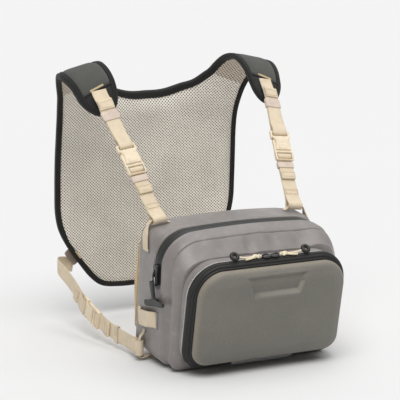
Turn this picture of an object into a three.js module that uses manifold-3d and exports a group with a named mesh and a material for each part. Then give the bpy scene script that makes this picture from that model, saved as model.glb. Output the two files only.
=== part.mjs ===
// Fishing chest pack: back panel with two shoulder pads, webbing straps with buckles, bag with front pocket.
// Millimetres. X to the right as seen from the front, Y to the back, Z up.
// The origin lies midway between the undersides of the two pads, at the crest of the shoulders.

import * as THREE from 'three';
import { mergeVertices } from 'three/addons/utils/BufferGeometryUtils.js';
import Module from 'manifold-3d';

const wasm = await Module();
wasm.setup();

// Driving sizes
const GAP = 0.3;
const WEB_WIDTH = 20;
const WEB_THICK = 1.5;
const MESH_THICK = 4;
const COVER_LOW = MESH_THICK + GAP;
const COVER_HIGH = COVER_LOW + 3;
const BINDING_WALL = 1.2;
const BINDING_REACH = 7.5;
const BINDING_CLEAR = 0.9;
const SHOULDER_X = 128;
const SHOULDER_SLOPE = 0.23;
const PANEL_HOLLOW = 8;
const BAG_REAR_Y = -131.1;
const BAG_LOW_Z = -325.6;
const BAG_PITCH = THREE.MathUtils.degToRad(6);
const BAG_HALF = 115;
const BAG_LOW = -8.5;
const BAG_HIGH = 157.2;
const BAG_CROWN = 4;
const BAG_WALL = 2;
const BAG_FRONT = -108;
const MAIN_ZIP_V = -60;
const MAIN_ZIP_WIDTH = 18;
const MAIN_ZIP_LOW = 90;
const POCKET_TILT = 0.094;
const POCKET_MID = 70;
const POCKET_WALL = 2.5;

// Outlines of the bag and of its pocket, seen from the front: half width, low edge, high edge, corner radii
const BODY_OUTLINE = { half: BAG_HALF, low: BAG_LOW, high: BAG_HIGH, topR: 38, lowR: 15, crown: BAG_CROWN };
const GUSSET_OUTLINE = { half: 108, low: 2, high: 136.5, topR: 41, lowR: 27, crown: 0 };
const ZIP_OUTLINE = { half: 110, low: 0.5, high: 138.5, topR: 42, lowR: 28, crown: 0 };
const SHELL_OUTLINE = { half: 102.6, low: 8, high: 131, topR: 34, lowR: 20.5, crown: 0 };

// Side view of the harness sheet, from the panel's low edge over the shoulder to the pad's tip: y, z
const HARNESS_PROFILE = [
  [60, -325], [61, -250], [61, -190], [59.5, -150], [57, -110], [53, -80], [47, -58], [40, -38], [32, -20],
  [19, -5], [0, 0], [-16, -4], [-29, -12], [-38, -22], [-50, -39], [-60, -54], [-66, -62],
];
const CREST_INDEX = 10;

// Edge of the harness sheet on the right half, laid flat: x, s; s is the way along the profile from the crest
const EDGE_BOTTOM = [
  [0, -330], [40, -329.5], [66, -325], [81, -313.5], [97, -294], [114.5, -270], [128.5, -244],
];
const EDGE_SIDE = [
  [128.5, -244], [133.5, -222], [134.5, -190], [134.5, -150],
  [134, -120], [134.5, -95], [137, -72], [139.5, -57],
];
const EDGE_OUTER = [[139.5, -57], [148, -30], [153.5, -10], [155.5, 6], [153, 25], [149.5, 42], [146, 56]];
const EDGE_TIP = [[146, 56], [138, 69], [128, 77], [119, 79], [110, 75], [103, 65], [99.8, 52]];
const EDGE_INNER = [[99.8, 52], [98.8, 38], [98.8, 20], [98.8, 0], [96.5, -18], [91, -34], [88, -41]];
const EDGE_NECK = [[88, -41], [82, -46], [68, -56], [50, -62], [26, -68.5], [0, -70]];
const SEAM_INNER_S = 37;
const SEAM_OUTER_S = 53;

const V = (x, y, z) => new THREE.Vector3(x, y, z);
const lerp = THREE.MathUtils.lerp;
const steps = (count) => Array.from({ length: count + 1 }, (_, i) => i / count);

function smooth(from, to, x) {
  const t = THREE.MathUtils.clamp((x - from) / (to - from), 0, 1);
  return t * t * (3 - 2 * t);
}

// Value of one table column at a value of the other, straight between rows
function lookUp(table, key, value, x) {
  const rows = [...table].sort((a, b) => a[key] - b[key]);
  if (x <= rows[0][key]) return rows[0][value];
  for (let i = 1; i < rows.length; i += 1) {
    if (x <= rows[i][key]) {
      const t = (x - rows[i - 1][key]) / (rows[i][key] - rows[i - 1][key]);
      return lerp(rows[i - 1][value], rows[i][value], t);
    }
  }
  return rows[rows.length - 1][value];
}

// Closed surface from points and triangles, turned so that its faces look outward
function closedSurface(points, triangles) {
  const volume = triangles.reduce(
    (sum, [a, b, c]) => sum + points[a].dot(points[b].clone().cross(points[c])), 0);
  const turned = volume < 0 ? triangles.map(([a, b, c]) => [a, c, b]) : triangles;
  const geometry = new THREE.BufferGeometry();
  const flat = points.flatMap((p) => p.toArray());
  geometry.setAttribute('position', new THREE.Float32BufferAttribute(flat, 3));
  geometry.setIndex(turned.flat());
  return geometry;
}

// Sheet between two grids of points, closed along its four edges
function sheetSolid(front, back) {
  const rows = front.length;
  const cols = front[0].length;
  const at = (side, i, j) => side * rows * cols + i * cols + j;
  const triangles = [];
  const quad = (a, b, c, d) => triangles.push([a, b, c], [a, c, d]);
  for (let i = 0; i < rows - 1; i += 1) {
    for (let j = 0; j < cols - 1; j += 1) {
      quad(at(0, i, j), at(0, i, j + 1), at(0, i + 1, j + 1), at(0, i + 1, j));
      quad(at(1, i, j), at(1, i + 1, j), at(1, i + 1, j + 1), at(1, i, j + 1));
    }
    quad(at(0, i, 0), at(0, i + 1, 0), at(1, i + 1, 0), at(1, i, 0));
    quad(at(0, i, cols - 1), at(1, i, cols - 1), at(1, i + 1, cols - 1), at(0, i + 1, cols - 1));
  }
  for (let j = 0; j < cols - 1; j += 1) {
    quad(at(0, 0, j), at(1, 0, j), at(1, 0, j + 1), at(0, 0, j + 1));
    quad(at(0, rows - 1, j), at(0, rows - 1, j + 1), at(1, rows - 1, j + 1), at(1, rows - 1, j));
  }
  return closedSurface([...front.flat(), ...back.flat()], triangles);
}

// Body through a row of closed sections; a looped row joins its last section to its first
function loftSolid(sections, looped = false) {
  const count = sections[0].length;
  const points = sections.flat();
  const triangles = [];
  const spans = looped ? sections.length : sections.length - 1;
  for (let i = 0; i < spans; i += 1) {
    const a = i * count;
    const b = ((i + 1) % sections.length) * count;
    for (let j = 0; j < count; j += 1) {
      const k = (j + 1) % count;
      triangles.push([a + j, a + k, b + k], [a + j, b + k, b + j]);
    }
  }
  if (!looped) {
    [0, sections.length - 1].forEach((end) => {
      const centre = sections[end].reduce((sum, p) => sum.add(p), V(0, 0, 0)).divideScalar(count);
      points.push(centre);
      for (let j = 0; j < count; j += 1) {
        const edge = [end * count + ((j + 1) % count), end * count + j];
        triangles.push([points.length - 1, ...(end === 0 ? edge : edge.reverse())]);
      }
    });
  }
  return closedSurface(points, triangles);
}

// One indexed geometry with its corners joined
function joined(geometry) {
  const bare = geometry.clone();
  bare.deleteAttribute('normal');
  bare.deleteAttribute('uv');
  return mergeVertices(bare, 1e-4);
}

function toSolid(geometry) {
  const clean = joined(geometry);
  return new wasm.Manifold(new wasm.Mesh({
    numProp: 3,
    vertProperties: new Float32Array(clean.attributes.position.array),
    triVerts: new Uint32Array(clean.index.array),
  }));
}

function fromSolid(solid) {
  const mesh = solid.getMesh();
  const geometry = new THREE.BufferGeometry();
  geometry.setAttribute('position', new THREE.BufferAttribute(new Float32Array(mesh.vertProperties), 3));
  geometry.setIndex(Array.from(mesh.triVerts));
  return geometry;
}

function boxSolid(low, high) {
  const geometry = new THREE.BoxGeometry(high[0] - low[0], high[1] - low[1], high[2] - low[2]);
  geometry.translate((low[0] + high[0]) / 2, (low[1] + high[1]) / 2, (low[2] + high[2]) / 2);
  return toSolid(geometry);
}

function mirrored(geometry) {
  const copy = joined(geometry);
  copy.scale(-1, 1, 1);
  const index = Array.from(copy.index.array);
  for (let i = 0; i < index.length; i += 3) {
    [index[i], index[i + 1]] = [index[i + 1], index[i]];
  }
  copy.setIndex(index);
  return copy;
}

// Finishes
const finish = (color, roughness, metalness = 0) =>
  new THREE.MeshStandardMaterial({ color, roughness, metalness });
const SPACER_MESH = finish(0xc9bba6, 0.9);
const DARK_CLOTH = finish(0x4b4b48, 0.75);
const TIP_CLOTH = finish(0x3f3f3d, 0.6);
const TAPE_BLACK = finish(0x272523, 0.8);
const WEBBING = finish(0xdccba8, 0.85);
const ELASTIC = finish(0xd6c0ab, 0.85);
const BUCKLE_PLASTIC = finish(0xe6d6b4, 0.45);
const TAB_CLOTH = finish(0x7d6f66, 0.8);
const COATED_CLOTH = finish(0x8f8680, 0.55);
const TAN_MESH = finish(0xb79a68, 0.9);
const ZIP_BLACK = finish(0x2d2d2d, 0.6);
const PULL_RUBBER = finish(0x3a3a3c, 0.65);
const LINK_STEEL = finish(0xb9bcc0, 0.3, 1);
const SHELL_GREY = finish(0x77776f, 0.7);

const pack = new THREE.Group();

function piece(name, geometry, material) {
  const mesh = new THREE.Mesh(joined(geometry), material);
  mesh.name = name;
  pack.add(mesh);
}

// A piece on the wearer's two sides: built at +X and mirrored
function pair(name, geometry, material) {
  piece(`${name}_right`, geometry, material);
  piece(`${name}_left`, mirrored(geometry), material);
}

// Harness sheet
const profilePoints = HARNESS_PROFILE.map(([y, z]) => V(0, y, z));
const profile = new THREE.CatmullRomCurve3(profilePoints, false, 'centripetal');
profile.arcLengthDivisions = 1600;
const profileLengths = profile.getLengths(1600);
const profileTotal = profileLengths[1600];
const crestLength = profileLengths[(1600 * CREST_INDEX) / (HARNESS_PROFILE.length - 1)];

// Point of the sheet at x, at s along the profile, t above the side that lies on the wearer
function sheetPoint(x, s, t) {
  const u = THREE.MathUtils.clamp((s + crestLength) / profileTotal, 0, 1);
  const p = profile.getPointAt(u);
  const q = profile.getTangentAt(u);
  const sloped = smooth(-95, -30, s) * SHOULDER_SLOPE * (SHOULDER_X - Math.abs(x));
  const hollow = (1 - smooth(-70, -15, s)) * PANEL_HOLLOW * (1 - (x / 132) ** 2);
  const rise = sloped + hollow + t;
  return V(x, p.y + q.z * rise, p.z - q.y * rise);
}

// Panel: columns across, rows from the low edge to the neck and the pads' creases
function panelLayer(low, high) {
  const halfAcross = [0.187, 0.36, 0.489, 0.59, 0.633, 0.75, 0.875, 1];
  const across = [...[...halfAcross].reverse().map((c) => -c), 0, ...halfAcross];
  const up = [0, 0.17, 0.36, 0.54, 0.7, 0.82, 0.9, 0.95, 1];
  const grid = (t) => up.map((r) => across.map((c) => {
    const bottom = lookUp(EDGE_BOTTOM, 0, 1, Math.abs(c) * 128.5);
    const reach = Math.abs(c) * 139.5;
    const top = reach > 88 ? lerp(-41, -57, (reach - 88) / 51.5) : lookUp(EDGE_NECK, 0, 1, reach);
    const half = lookUp(EDGE_SIDE, 1, 0, lerp(-244, -57, r));
    return sheetPoint(c * half, lerp(bottom, top, r), t);
  }));
  return sheetSolid(grid(low), grid(high));
}

piece('panel_mesh', panelLayer(0, MESH_THICK), SPACER_MESH);
piece('panel_cover', panelLayer(COVER_LOW, COVER_HIGH), DARK_CLOTH);

// Pads: columns from the neck side to the arm side, rows from the crease to the tip
const tipS = (c) => lookUp(EDGE_TIP, 0, 1, lerp(99.8, 146, c));
const creaseS = (c) => lerp(-41, -57, c) + GAP;
const seamS = (c) => lerp(SEAM_INNER_S, SEAM_OUTER_S, c);
const padX = (s, c) => lerp(lookUp(EDGE_INNER, 1, 0, s), lookUp(EDGE_OUTER, 1, 0, s), c);

function padLayer(rows, low, high) {
  const across = [0, 0.08, 0.27, 0.5, 0.73, 0.92, 1];
  const grid = (t) => rows.map((row) => across.map((c) => {
    const x = lerp(lookUp(EDGE_INNER, 1, 0, row(0)), lookUp(EDGE_OUTER, 1, 0, row(1)), c);
    return sheetPoint(x, row(c), t);
  }));
  return sheetSolid(grid(low), grid(high));
}

const between = (from, to, count) => steps(count).map((r) => (c) => lerp(from(c), to(c), r));
const coverRows = between(creaseS, seamS, 10);
const tipRows = between(seamS, tipS, 3).slice(1);
pair('pad_mesh', padLayer([...coverRows, ...tipRows], 0, MESH_THICK), SPACER_MESH);
pair('pad_cover', padLayer(coverRows, COVER_LOW, COVER_HIGH), DARK_CLOTH);
pair('pad_tip', padLayer([(c) => seamS(c) + GAP, ...tipRows], COVER_LOW, COVER_HIGH), TIP_CLOTH);

// Stitched bar just above each seam
function padBar() {
  const grid = (t) => [4.4, 1.8].map((d) => [0.28, 0.42, 0.56, 0.7].map((c) => {
    const s = seamS(c) - d;
    return sheetPoint(padX(s, c), s, t);
  }));
  return sheetSolid(grid(COVER_HIGH + GAP), grid(COVER_HIGH + GAP + 1));
}

pair('pad_bar', padBar(), WEBBING);

// Folded tape round the whole edge: a U section carried along the edge of the sheet
function edgeLoop() {
  const half = [EDGE_BOTTOM, EDGE_SIDE, EDGE_OUTER, EDGE_TIP, EDGE_INNER, EDGE_NECK]
    .flatMap((table, i) => (i === 0 ? table : table.slice(1)));
  const fine = [half[0]];
  for (let i = 1; i < half.length; i += 1) {
    const [x0, s0] = half[i - 1];
    const [x1, s1] = half[i];
    const curved = Math.max(s0, s1) > -72 && Math.min(Math.abs(x0), Math.abs(x1)) > 80;
    const parts = curved ? Math.ceil(Math.hypot(x1 - x0, s1 - s0) / 13) : 1;
    steps(parts).slice(1).forEach((t) => fine.push([lerp(x0, x1, t), lerp(s0, s1, t)]));
  }
  const other = fine.slice(1, -1).reverse().map(([x, s]) => [-x, s]);
  return [...fine, ...other];
}

function bindingSolid() {
  const loop = edgeLoop();
  const inside = -BINDING_CLEAR;
  const outside = COVER_HIGH + BINDING_CLEAR;
  const section = [
    [0.6 + BINDING_WALL, inside - BINDING_WALL], [0.6 + BINDING_WALL, outside + BINDING_WALL],
    [-BINDING_REACH, outside + BINDING_WALL], [-BINDING_REACH, outside],
    [0.6, outside], [0.6, inside], [-BINDING_REACH, inside], [-BINDING_REACH, inside - BINDING_WALL],
  ];
  const sections = loop.map(([x, s], i) => {
    const [xa, sa] = loop[(i + loop.length - 1) % loop.length];
    const [xb, sb] = loop[(i + 1) % loop.length];
    const length = Math.hypot(xb - xa, sb - sa);
    const out = [(sb - sa) / length, -(xb - xa) / length];
    return section.map(([o, t]) => sheetPoint(x + o * out[0], s + o * out[1], t));
  });
  return loftSolid(sections, true);
}

piece('binding', bindingSolid(), TAPE_BLACK);

// Webbing runs along a spine; a is the way along it, h the height over it, b the way across
function makeSpine(stations) {
  const curve = new THREE.CatmullRomCurve3(stations.map((row) => row.point), false, 'centripetal');
  const parts = 40;
  const count = (stations.length - 1) * parts;
  const rows = [];
  let a = 0;
  for (let i = 0; i <= count; i += 1) {
    const point = curve.getPoint(i / count);
    if (i > 0) a += point.distanceTo(rows[i - 1].point);
    const k = Math.min(Math.floor(i / parts), stations.length - 2);
    const across = stations[k].across.clone().lerp(stations[k + 1].across, i / parts - k);
    rows.push({ a, point, across, along: curve.getTangent(i / count) });
  }
  const frameAt = (distance) => {
    const x = THREE.MathUtils.clamp(distance, 0, a);
    const i = Math.max(1, rows.findIndex((row) => row.a >= x));
    const t = (x - rows[i - 1].a) / (rows[i].a - rows[i - 1].a);
    const along = rows[i - 1].along.clone().lerp(rows[i].along, t).normalize();
    const point = rows[i - 1].point.clone().lerp(rows[i].point, t).addScaledVector(along, distance - x);
    const rough = rows[i - 1].across.clone().lerp(rows[i].across, t);
    const across = rough.addScaledVector(along, -rough.dot(along)).normalize();
    return { point, along, across, over: along.clone().cross(across) };
  };
  const stationAt = (index) => rows[index * parts].a;
  return { frameAt, stationAt, length: a };
}

function onSpine(spine, a, h, b) {
  const frame = spine.frameAt(a);
  return frame.point.clone().addScaledVector(frame.over, h).addScaledVector(frame.across, b);
}

// Webbing along a path of a, h points on a spine
function webSolid(spine, path, width = WEB_WIDTH, thick = WEB_THICK) {
  const side = (sign) => path.map(([a, h], i) => {
    const [a0, h0] = path[Math.max(i - 1, 0)];
    const [a1, h1] = path[Math.min(i + 1, path.length - 1)];
    const before = new THREE.Vector2(a - a0, h - h0).normalize();
    const after = new THREE.Vector2(a1 - a, h1 - h).normalize();
    const way = before.clone().add(after).normalize();
    const turn = Math.max(0.6, i === 0 || i === path.length - 1 ? 1 : way.dot(after));
    const off = (sign * thick) / 2 / turn;
    return [-width / 2, width / 2].map((b) => onSpine(spine, a - way.y * off, h + way.x * off, b));
  });
  return sheetSolid(side(1), side(-1));
}

// Sleeve round webbing from a0 to a1: layers lie between h0 and h1
function sleeveSolid(spine, a0, a1, h0, h1, wall = 1) {
  const half = WEB_WIDTH / 2 + GAP;
  const ring = (a, grow) => [
    [-half - grow, h0 - grow], [half + grow, h0 - grow],
    [half + grow, h1 + grow], [-half - grow, h1 + grow],
  ].map(([b, h]) => onSpine(spine, a, h, b));
  return loftSolid([ring(a0, wall), ring(a1, wall), ring(a1, 0), ring(a0, 0)], true);
}

// Side-release buckle, flat sizes: way along from the webbing bar, half width
const FEMALE_EDGE = [
  [0, 13], [1, 13.8], [7.5, 13.8], [9, 12.5], [11, 9.8], [14, 9.3], [17, 10.6], [20, 12.4], [30, 13.2],
];
const MALE_EDGE = [[30.3, 12.4], [43, 12.9], [44, 12]];
const PRONG_EDGE = [[12.6, 8.2], [13.4, 11.6], [15.8, 11.8], [17.6, 9], [30.5, 8.8]];
const FEMALE_HALF_THICK = 3.2;
const MALE_HALF_THICK = 2.5;
const BUCKLE_LENGTH = 44;

function plateSolid(edge, halfThick, holes = []) {
  const outline = [...edge.map(([a, w]) => [a, -w]), ...[...edge].reverse()];
  const shape = new THREE.Shape(outline.map(([a, w]) => new THREE.Vector2(a, w)));
  holes.forEach(([a0, a1, w]) => {
    const corners = [[a0, -w], [a0, w], [a1, w], [a1, -w]];
    shape.holes.push(new THREE.Path(corners.map(([a, b]) => new THREE.Vector2(a, b))));
  });
  const geometry = new THREE.ExtrudeGeometry(shape, { depth: 2 * halfThick, bevelEnabled: false });
  geometry.translate(0, 0, -halfThick);
  return toSolid(geometry);
}

function femaleSolid() {
  const slotHalf = WEB_WIDTH / 2 + 0.6;
  return plateSolid(FEMALE_EDGE, FEMALE_HALF_THICK, [[2.8, 6.6, slotHalf]])
    .subtract(boxSolid([-1, -slotHalf, 1.6], [6.6, slotHalf, 5]))
    .subtract(boxSolid([-1, -slotHalf, -5], [6.6, slotHalf, -1.6]))
    .subtract(boxSolid([12, -9.1, -1.9], [31, 9.1, 1.9]))
    .subtract(boxSolid([11.4, -15, -1.9], [18.2, 15, 1.9]));
}

function maleSolid() {
  const slotHalf = WEB_WIDTH / 2 + 0.5;
  return plateSolid(MALE_EDGE, MALE_HALF_THICK, [[33, 41.2, slotHalf]])
    .subtract(boxSolid([40, -slotHalf, -4], [45, slotHalf, -0.8]))
    .add(boxSolid([35.9, -slotHalf - 0.5, -1.1], [38.1, slotHalf + 0.5, 1.1]))
    .add(plateSolid(PRONG_EDGE, 1.6));
}

function placed(solid, spine, a, h) {
  const frame = spine.frameAt(a + BUCKLE_LENGTH / 2);
  const origin = frame.point.clone().addScaledVector(frame.along, -BUCKLE_LENGTH / 2);
  origin.addScaledVector(frame.over, h);
  const matrix = new THREE.Matrix4().makeBasis(frame.along, frame.across, frame.over).setPosition(origin);
  return fromSolid(solid).applyMatrix4(matrix);
}

// Webbing through the buckle's female bar, with its tail folded over: a from the bar, h from the spine
const BUCKLE_H = 2.4;
const FEMALE_TURN = [
  [-22, 0.75], [-11, 0.5], [-3, -0.35], [2.9, -0.35], [4.5, 0.4], [5.1, 2.4],
  [4.5, 4.4], [2.9, 5.15], [-3, 5.15], [-11, 3.4], [-22, 2.55],
];
// Webbing round the male's ladder bar: the tail lies outside, the strap inside
const MALE_TURN = [
  [60, 2.35], [69, 2.35], [70.1, 1.9], [70.1, 1], [69, 0.55], [58, 0.55], [47, 0.5], [41, 0.5],
  [40.1, 1.5], [39.6, 3.2], [38.3, 4.75], [35.7, 4.75], [34.5, 3.3], [34.3, 1.2], [35.4, -0.8],
  [38, -1.35], [47, -1.3], [58, -1.25], [70, -1.25],
];
const EYE_RADIUS = 5.8;

// Eye round a corner loop at the end of a strap: a from the eye's centre
function eyePath() {
  const turn = steps(6).map((t) => THREE.MathUtils.degToRad(lerp(-130, 130, t)));
  const round = turn.map((angle) => [EYE_RADIUS * Math.cos(angle), EYE_RADIUS * Math.sin(angle) - 0.35]);
  return [[-12, -1.25], ...round, [-12, 0.55], [-24, 0.55]];
}

const shifted = (path, a) => path.map(([x, h]) => [x + a, h]);

// Bag frame: u to the right, v to the back, w up, tilted forward at the top
const bagPoint = (u, v, w) => V(
  u,
  BAG_REAR_Y + v * Math.cos(BAG_PITCH) - w * Math.sin(BAG_PITCH),
  BAG_LOW_Z + v * Math.sin(BAG_PITCH) + w * Math.cos(BAG_PITCH),
);
const bagMatrix = new THREE.Matrix4().makeBasis(
  V(1, 0, 0),
  V(0, Math.cos(BAG_PITCH), Math.sin(BAG_PITCH)),
  V(0, -Math.sin(BAG_PITCH), Math.cos(BAG_PITCH)),
).setPosition(0, BAG_REAR_Y, BAG_LOW_Z);

// Shoulder straps
const LOOP_V = -19;
const TOP_EYE = { u: 98, v: LOOP_V, w: 163.4 };
const padStations = [
  { x: 122, s: 46.5, t: 7.6 }, { x: 121.7, s: 52, t: 7.7 }, { x: 121.2, s: 58, t: 8.8 },
  { x: 120.6, s: 64, t: 10.4 }, { x: 120, s: 70, t: 11 }, { x: 119.4, s: 77, t: 11.2 },
].map(({ x, s, t }) => ({
  point: sheetPoint(x, s, t),
  across: sheetPoint(x + 5, s, t).sub(sheetPoint(x - 5, s, t)).normalize(),
}));
const { point: tipPoint, across: tipAcross } = padStations[padStations.length - 1];
const topEye = bagPoint(TOP_EYE.u, TOP_EYE.v, TOP_EYE.w);
// Beyond the tip the webbing turns level by a quarter of its way
const strapStations = [0.12, 0.25, 0.5, 0.75, 1].map((t) => ({
  point: tipPoint.clone().lerp(topEye, t),
  across: tipAcross.clone().lerp(V(1, 0, 0), Math.min(1, 4 * t)),
}));
const shoulderSpine = makeSpine([...padStations, ...strapStations]);
const shoulderBar = 84;
const tailUp = [
  [53, 2.55], [44, 2.55], [38, 2.55], [32, 2.55], [26, 2.55], [19, 2.55], [17.9, 3], [17.9, 3.9],
  [19, 4.35], [25, 4.35], [31, 4.35],
];
const upperRun = [0, 10, 20, 26, 32, 38, 44, 53].map((a) => [a, 0.75]);
const upperPath = [...upperRun, ...shifted(FEMALE_TURN, shoulderBar), ...tailUp];
const topEyeA = shoulderSpine.length;
const lowerPath = [...shifted(MALE_TURN, shoulderBar), ...shifted(eyePath(), topEyeA)];

pair('web_upper', webSolid(shoulderSpine, upperPath), WEBBING);
pair('keeper_upper', sleeveSolid(shoulderSpine, 34, 47, -GAP, 3.3 + GAP), ELASTIC);
pair('buckle_female', placed(femaleSolid(), shoulderSpine, shoulderBar, BUCKLE_H), BUCKLE_PLASTIC);
pair('buckle_male', placed(maleSolid(), shoulderSpine, shoulderBar, BUCKLE_H), BUCKLE_PLASTIC);
pair('web_lower', webSolid(shoulderSpine, lowerPath), WEBBING);
const lowKeeper = shoulderBar + 45.5;
pair('keeper_lower', sleeveSolid(shoulderSpine, lowKeeper, lowKeeper + 8.5, -2 - GAP, 1.3 + GAP), ELASTIC);

// Side straps, from the panel's low side edge to the bag's low rear corner
const LOW_EYE = { u: 122.4, v: -30, w: 0.5 };
const sideStart = V(127.8, -14, -305);
const sideEnd = V(126.3, -56, -318);
const sideWay = sideEnd.clone().sub(sideStart).normalize();
const lowEye = bagPoint(LOW_EYE.u, LOW_EYE.v, LOW_EYE.w);
const sidePoints = [
  V(104, 78, -272), V(112, 78.2, -270.5), V(121, 76.5, -268.8), V(128.5, 70.5, -267.5),
  V(132.5, 61, -268.5), V(132.5, 50, -272), V(130.5, 37, -278.5), V(128.8, 18, -288), V(128, -1, -299),
  sideStart, sideStart.clone().addScaledVector(sideWay, 22), sideStart.clone().addScaledVector(sideWay, 44),
  sideStart.clone().addScaledVector(sideWay, 50), V(124.5, -92, -325.3), V(122.5, -122, -327.5), lowEye,
];
const sideSpine = makeSpine(sidePoints.map((point) => ({ point, across: V(0, 0, -1) })));
const sideBar = sideSpine.stationAt(9);
const lowEyeA = sideSpine.length;
const rearRun = [0, 8, 16, 22, 28, 34, 40, 48, 58, 70].map((a) => [a, 0.75]);
const rearTail = [[-26, 2.55], [-27.1, 3], [-27.1, 3.9], [-26, 4.35], [-17, 4.35]];
const rearTurn = [...FEMALE_TURN.slice(0, -1), [-18, 2.55], ...rearTail];
const rearPath = [...rearRun.filter(([a]) => a < sideBar - 26), ...shifted(rearTurn, sideBar)];
const frontRun = [78, 87, 95].map((a) => [a, -1.25]);
const frontPath = [...shifted([...MALE_TURN, ...frontRun], sideBar), ...shifted(eyePath(), lowEyeA)];

pair('side_web_rear', webSolid(sideSpine, rearPath), WEBBING);
pair('side_female', placed(femaleSolid(), sideSpine, sideBar, BUCKLE_H), BUCKLE_PLASTIC);
pair('side_male', placed(maleSolid(), sideSpine, sideBar, BUCKLE_H), BUCKLE_PLASTIC);
pair('side_web_front', webSolid(sideSpine, frontPath), WEBBING);
pair('side_keeper', sleeveSolid(sideSpine, sideBar + 83, sideBar + 91, -2 - GAP, -0.5 + GAP, 1.4), WEBBING);

// Cloth tab behind the binding and the stitched bar in front of it
const tabAcross = [[98.5, -290.5], [112.5, -272]];
function onTab(along, out, t) {
  const [[x0, s0], [x1, s1]] = tabAcross;
  const length = Math.hypot(x1 - x0, s1 - s0);
  const normal = [(s1 - s0) / length, -(x1 - x0) / length];
  return sheetPoint(lerp(x0, x1, along) + normal[0] * out, lerp(s0, s1, along) + normal[1] * out, t);
}
const tabLow = COVER_HIGH + BINDING_CLEAR + BINDING_WALL + GAP;
const tabGrid = (t) => [-9, 0, 9].map((out) => steps(3).map((along) => onTab(along, out, t)));
pair('side_tab', sheetSolid(tabGrid(tabLow), tabGrid(tabLow + 1.6)), TAB_CLOTH);
const barLow = -BINDING_CLEAR - BINDING_WALL - GAP;
const barGrid = (t) => [-4.6, -1.8].map((out) => [0.2, 0.5, 0.8].map((along) => onTab(along, out, t)));
pair('side_bar', sheetSolid(barGrid(barLow), barGrid(barLow - 1)), WEBBING);

// Points round a rounded outline, anticlockwise from the low right corner, with outward directions
function outlinePoints({ half, low, high, topR, lowR, crown }, inset, arc = 5) {
  const corner = (cu, cw, radius, from) => steps(arc).map((t) => {
    const angle = THREE.MathUtils.degToRad(from + 90 * t);
    const out = [Math.cos(angle), Math.sin(angle)];
    return { u: cu + (radius - inset) * out[0], w: cw + (radius - inset) * out[1], out };
  });
  const top = crown === 0 ? [] : steps(6).slice(1, -1).map((t) => {
    const u = lerp(half - topR, topR - half, t);
    return { u, w: high - inset, out: [0, 1] };
  });
  const ring = [
    ...corner(half - lowR, low + lowR, lowR, -90),
    ...corner(half - topR, high - topR, topR, 0),
    ...top,
    ...corner(topR - half, high - topR, topR, 90),
    ...corner(lowR - half, low + lowR, lowR, 180),
  ];
  return ring.map((row) => {
    const arch = Math.max(0, 1 - (row.u / (half - topR / 2)) ** 2);
    return { ...row, w: row.w + crown * arch * smooth(high - topR, high, row.w + inset) };
  });
}

// Bag body: sections from the rear face to the front face: v, inset, drop of the top
const BODY_SECTIONS = [
  [0, 8, 0], [-2.5, 3, 0], [-8, 0.6, 0], [-22, 0, 0], [-60, -1.2, 0], [-82, 0.4, 2], [-86, 2.4, 3.5],
  [-99, 2.6, 10.5], [-105, 7, 13.5], [BAG_FRONT, 13, 15],
];
const BODY_INNER = [
  [-BAG_WALL, 8.5, 0], [-8, 2.8, 0], [-22, 2, 0], [-60, 0.8, 0], [-82, 2.6, 2], [-86, 4.6, 3.5], [-99, 5, 10.5],
  [BAG_FRONT + BAG_WALL, 14, 15],
];
const bodyRing = ([v, inset, drop]) => outlinePoints({ ...BODY_OUTLINE, high: BAG_HIGH - drop }, inset)
  .map(({ u, w }) => V(u, v, w));
const bodyInset = (v) => lookUp(BODY_SECTIONS, 0, 1, v);

// Band that follows part of the body's outline: each row gives a point and its inner and outer height
function bandSolid(rows, v0, v1) {
  return loftSolid(rows.map(({ u, w, out, low, high }) => [
    V(u + out[0] * low, v0, w + out[1] * low), V(u + out[0] * high, v0, w + out[1] * high),
    V(u + out[0] * high, v1, w + out[1] * high), V(u + out[0] * low, v1, w + out[1] * low),
  ]));
}

function zipRows(lowEdge, low, high) {
  const arch = outlinePoints(BODY_OUTLINE, 0).filter((row) => row.w > lowEdge);
  const foot = (side) => ({ u: side * BAG_HALF, w: lowEdge, out: [side, 0] });
  return [foot(1), ...arch, foot(-1)].map((row) => ({ ...row, low, high }));
}

const zipHalf = MAIN_ZIP_WIDTH / 2;
const zipSlot = bandSolid(zipRows(MAIN_ZIP_LOW, -8, 6), MAIN_ZIP_V - zipHalf, MAIN_ZIP_V + zipHalf);
const bodySolid = toSolid(loftSolid(BODY_SECTIONS.map(bodyRing)))
  .subtract(toSolid(loftSolid(BODY_INNER.map(bodyRing))))
  .subtract(toSolid(zipSlot));
piece('bag_body', fromSolid(bodySolid).applyMatrix4(bagMatrix), COATED_CLOTH);

const zipBand = bandSolid(
  zipRows(MAIN_ZIP_LOW + GAP, -0.9, 1.9), MAIN_ZIP_V - zipHalf + GAP, MAIN_ZIP_V + zipHalf - GAP);
piece('main_zip', zipBand.applyMatrix4(bagMatrix), ZIP_BLACK);

// Cushion on the rear face
function backPad() {
  const across = steps(4).map((t) => lerp(-112, 112, t));
  const up = steps(8).map((t) => lerp(14, 132, t));
  const grid = (thick) => up.map((w) => across.map((u) => {
    const belly = Math.max(0, Math.sin((Math.PI * (w - 14)) / 118)) ** 0.7;
    return V(u, GAP + (thick ? 2 + 12 * belly : 0), w);
  }));
  return sheetSolid(grid(true), grid(false)).applyMatrix4(bagMatrix);
}
piece('bag_back_pad', backPad(), TAN_MESH);

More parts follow.
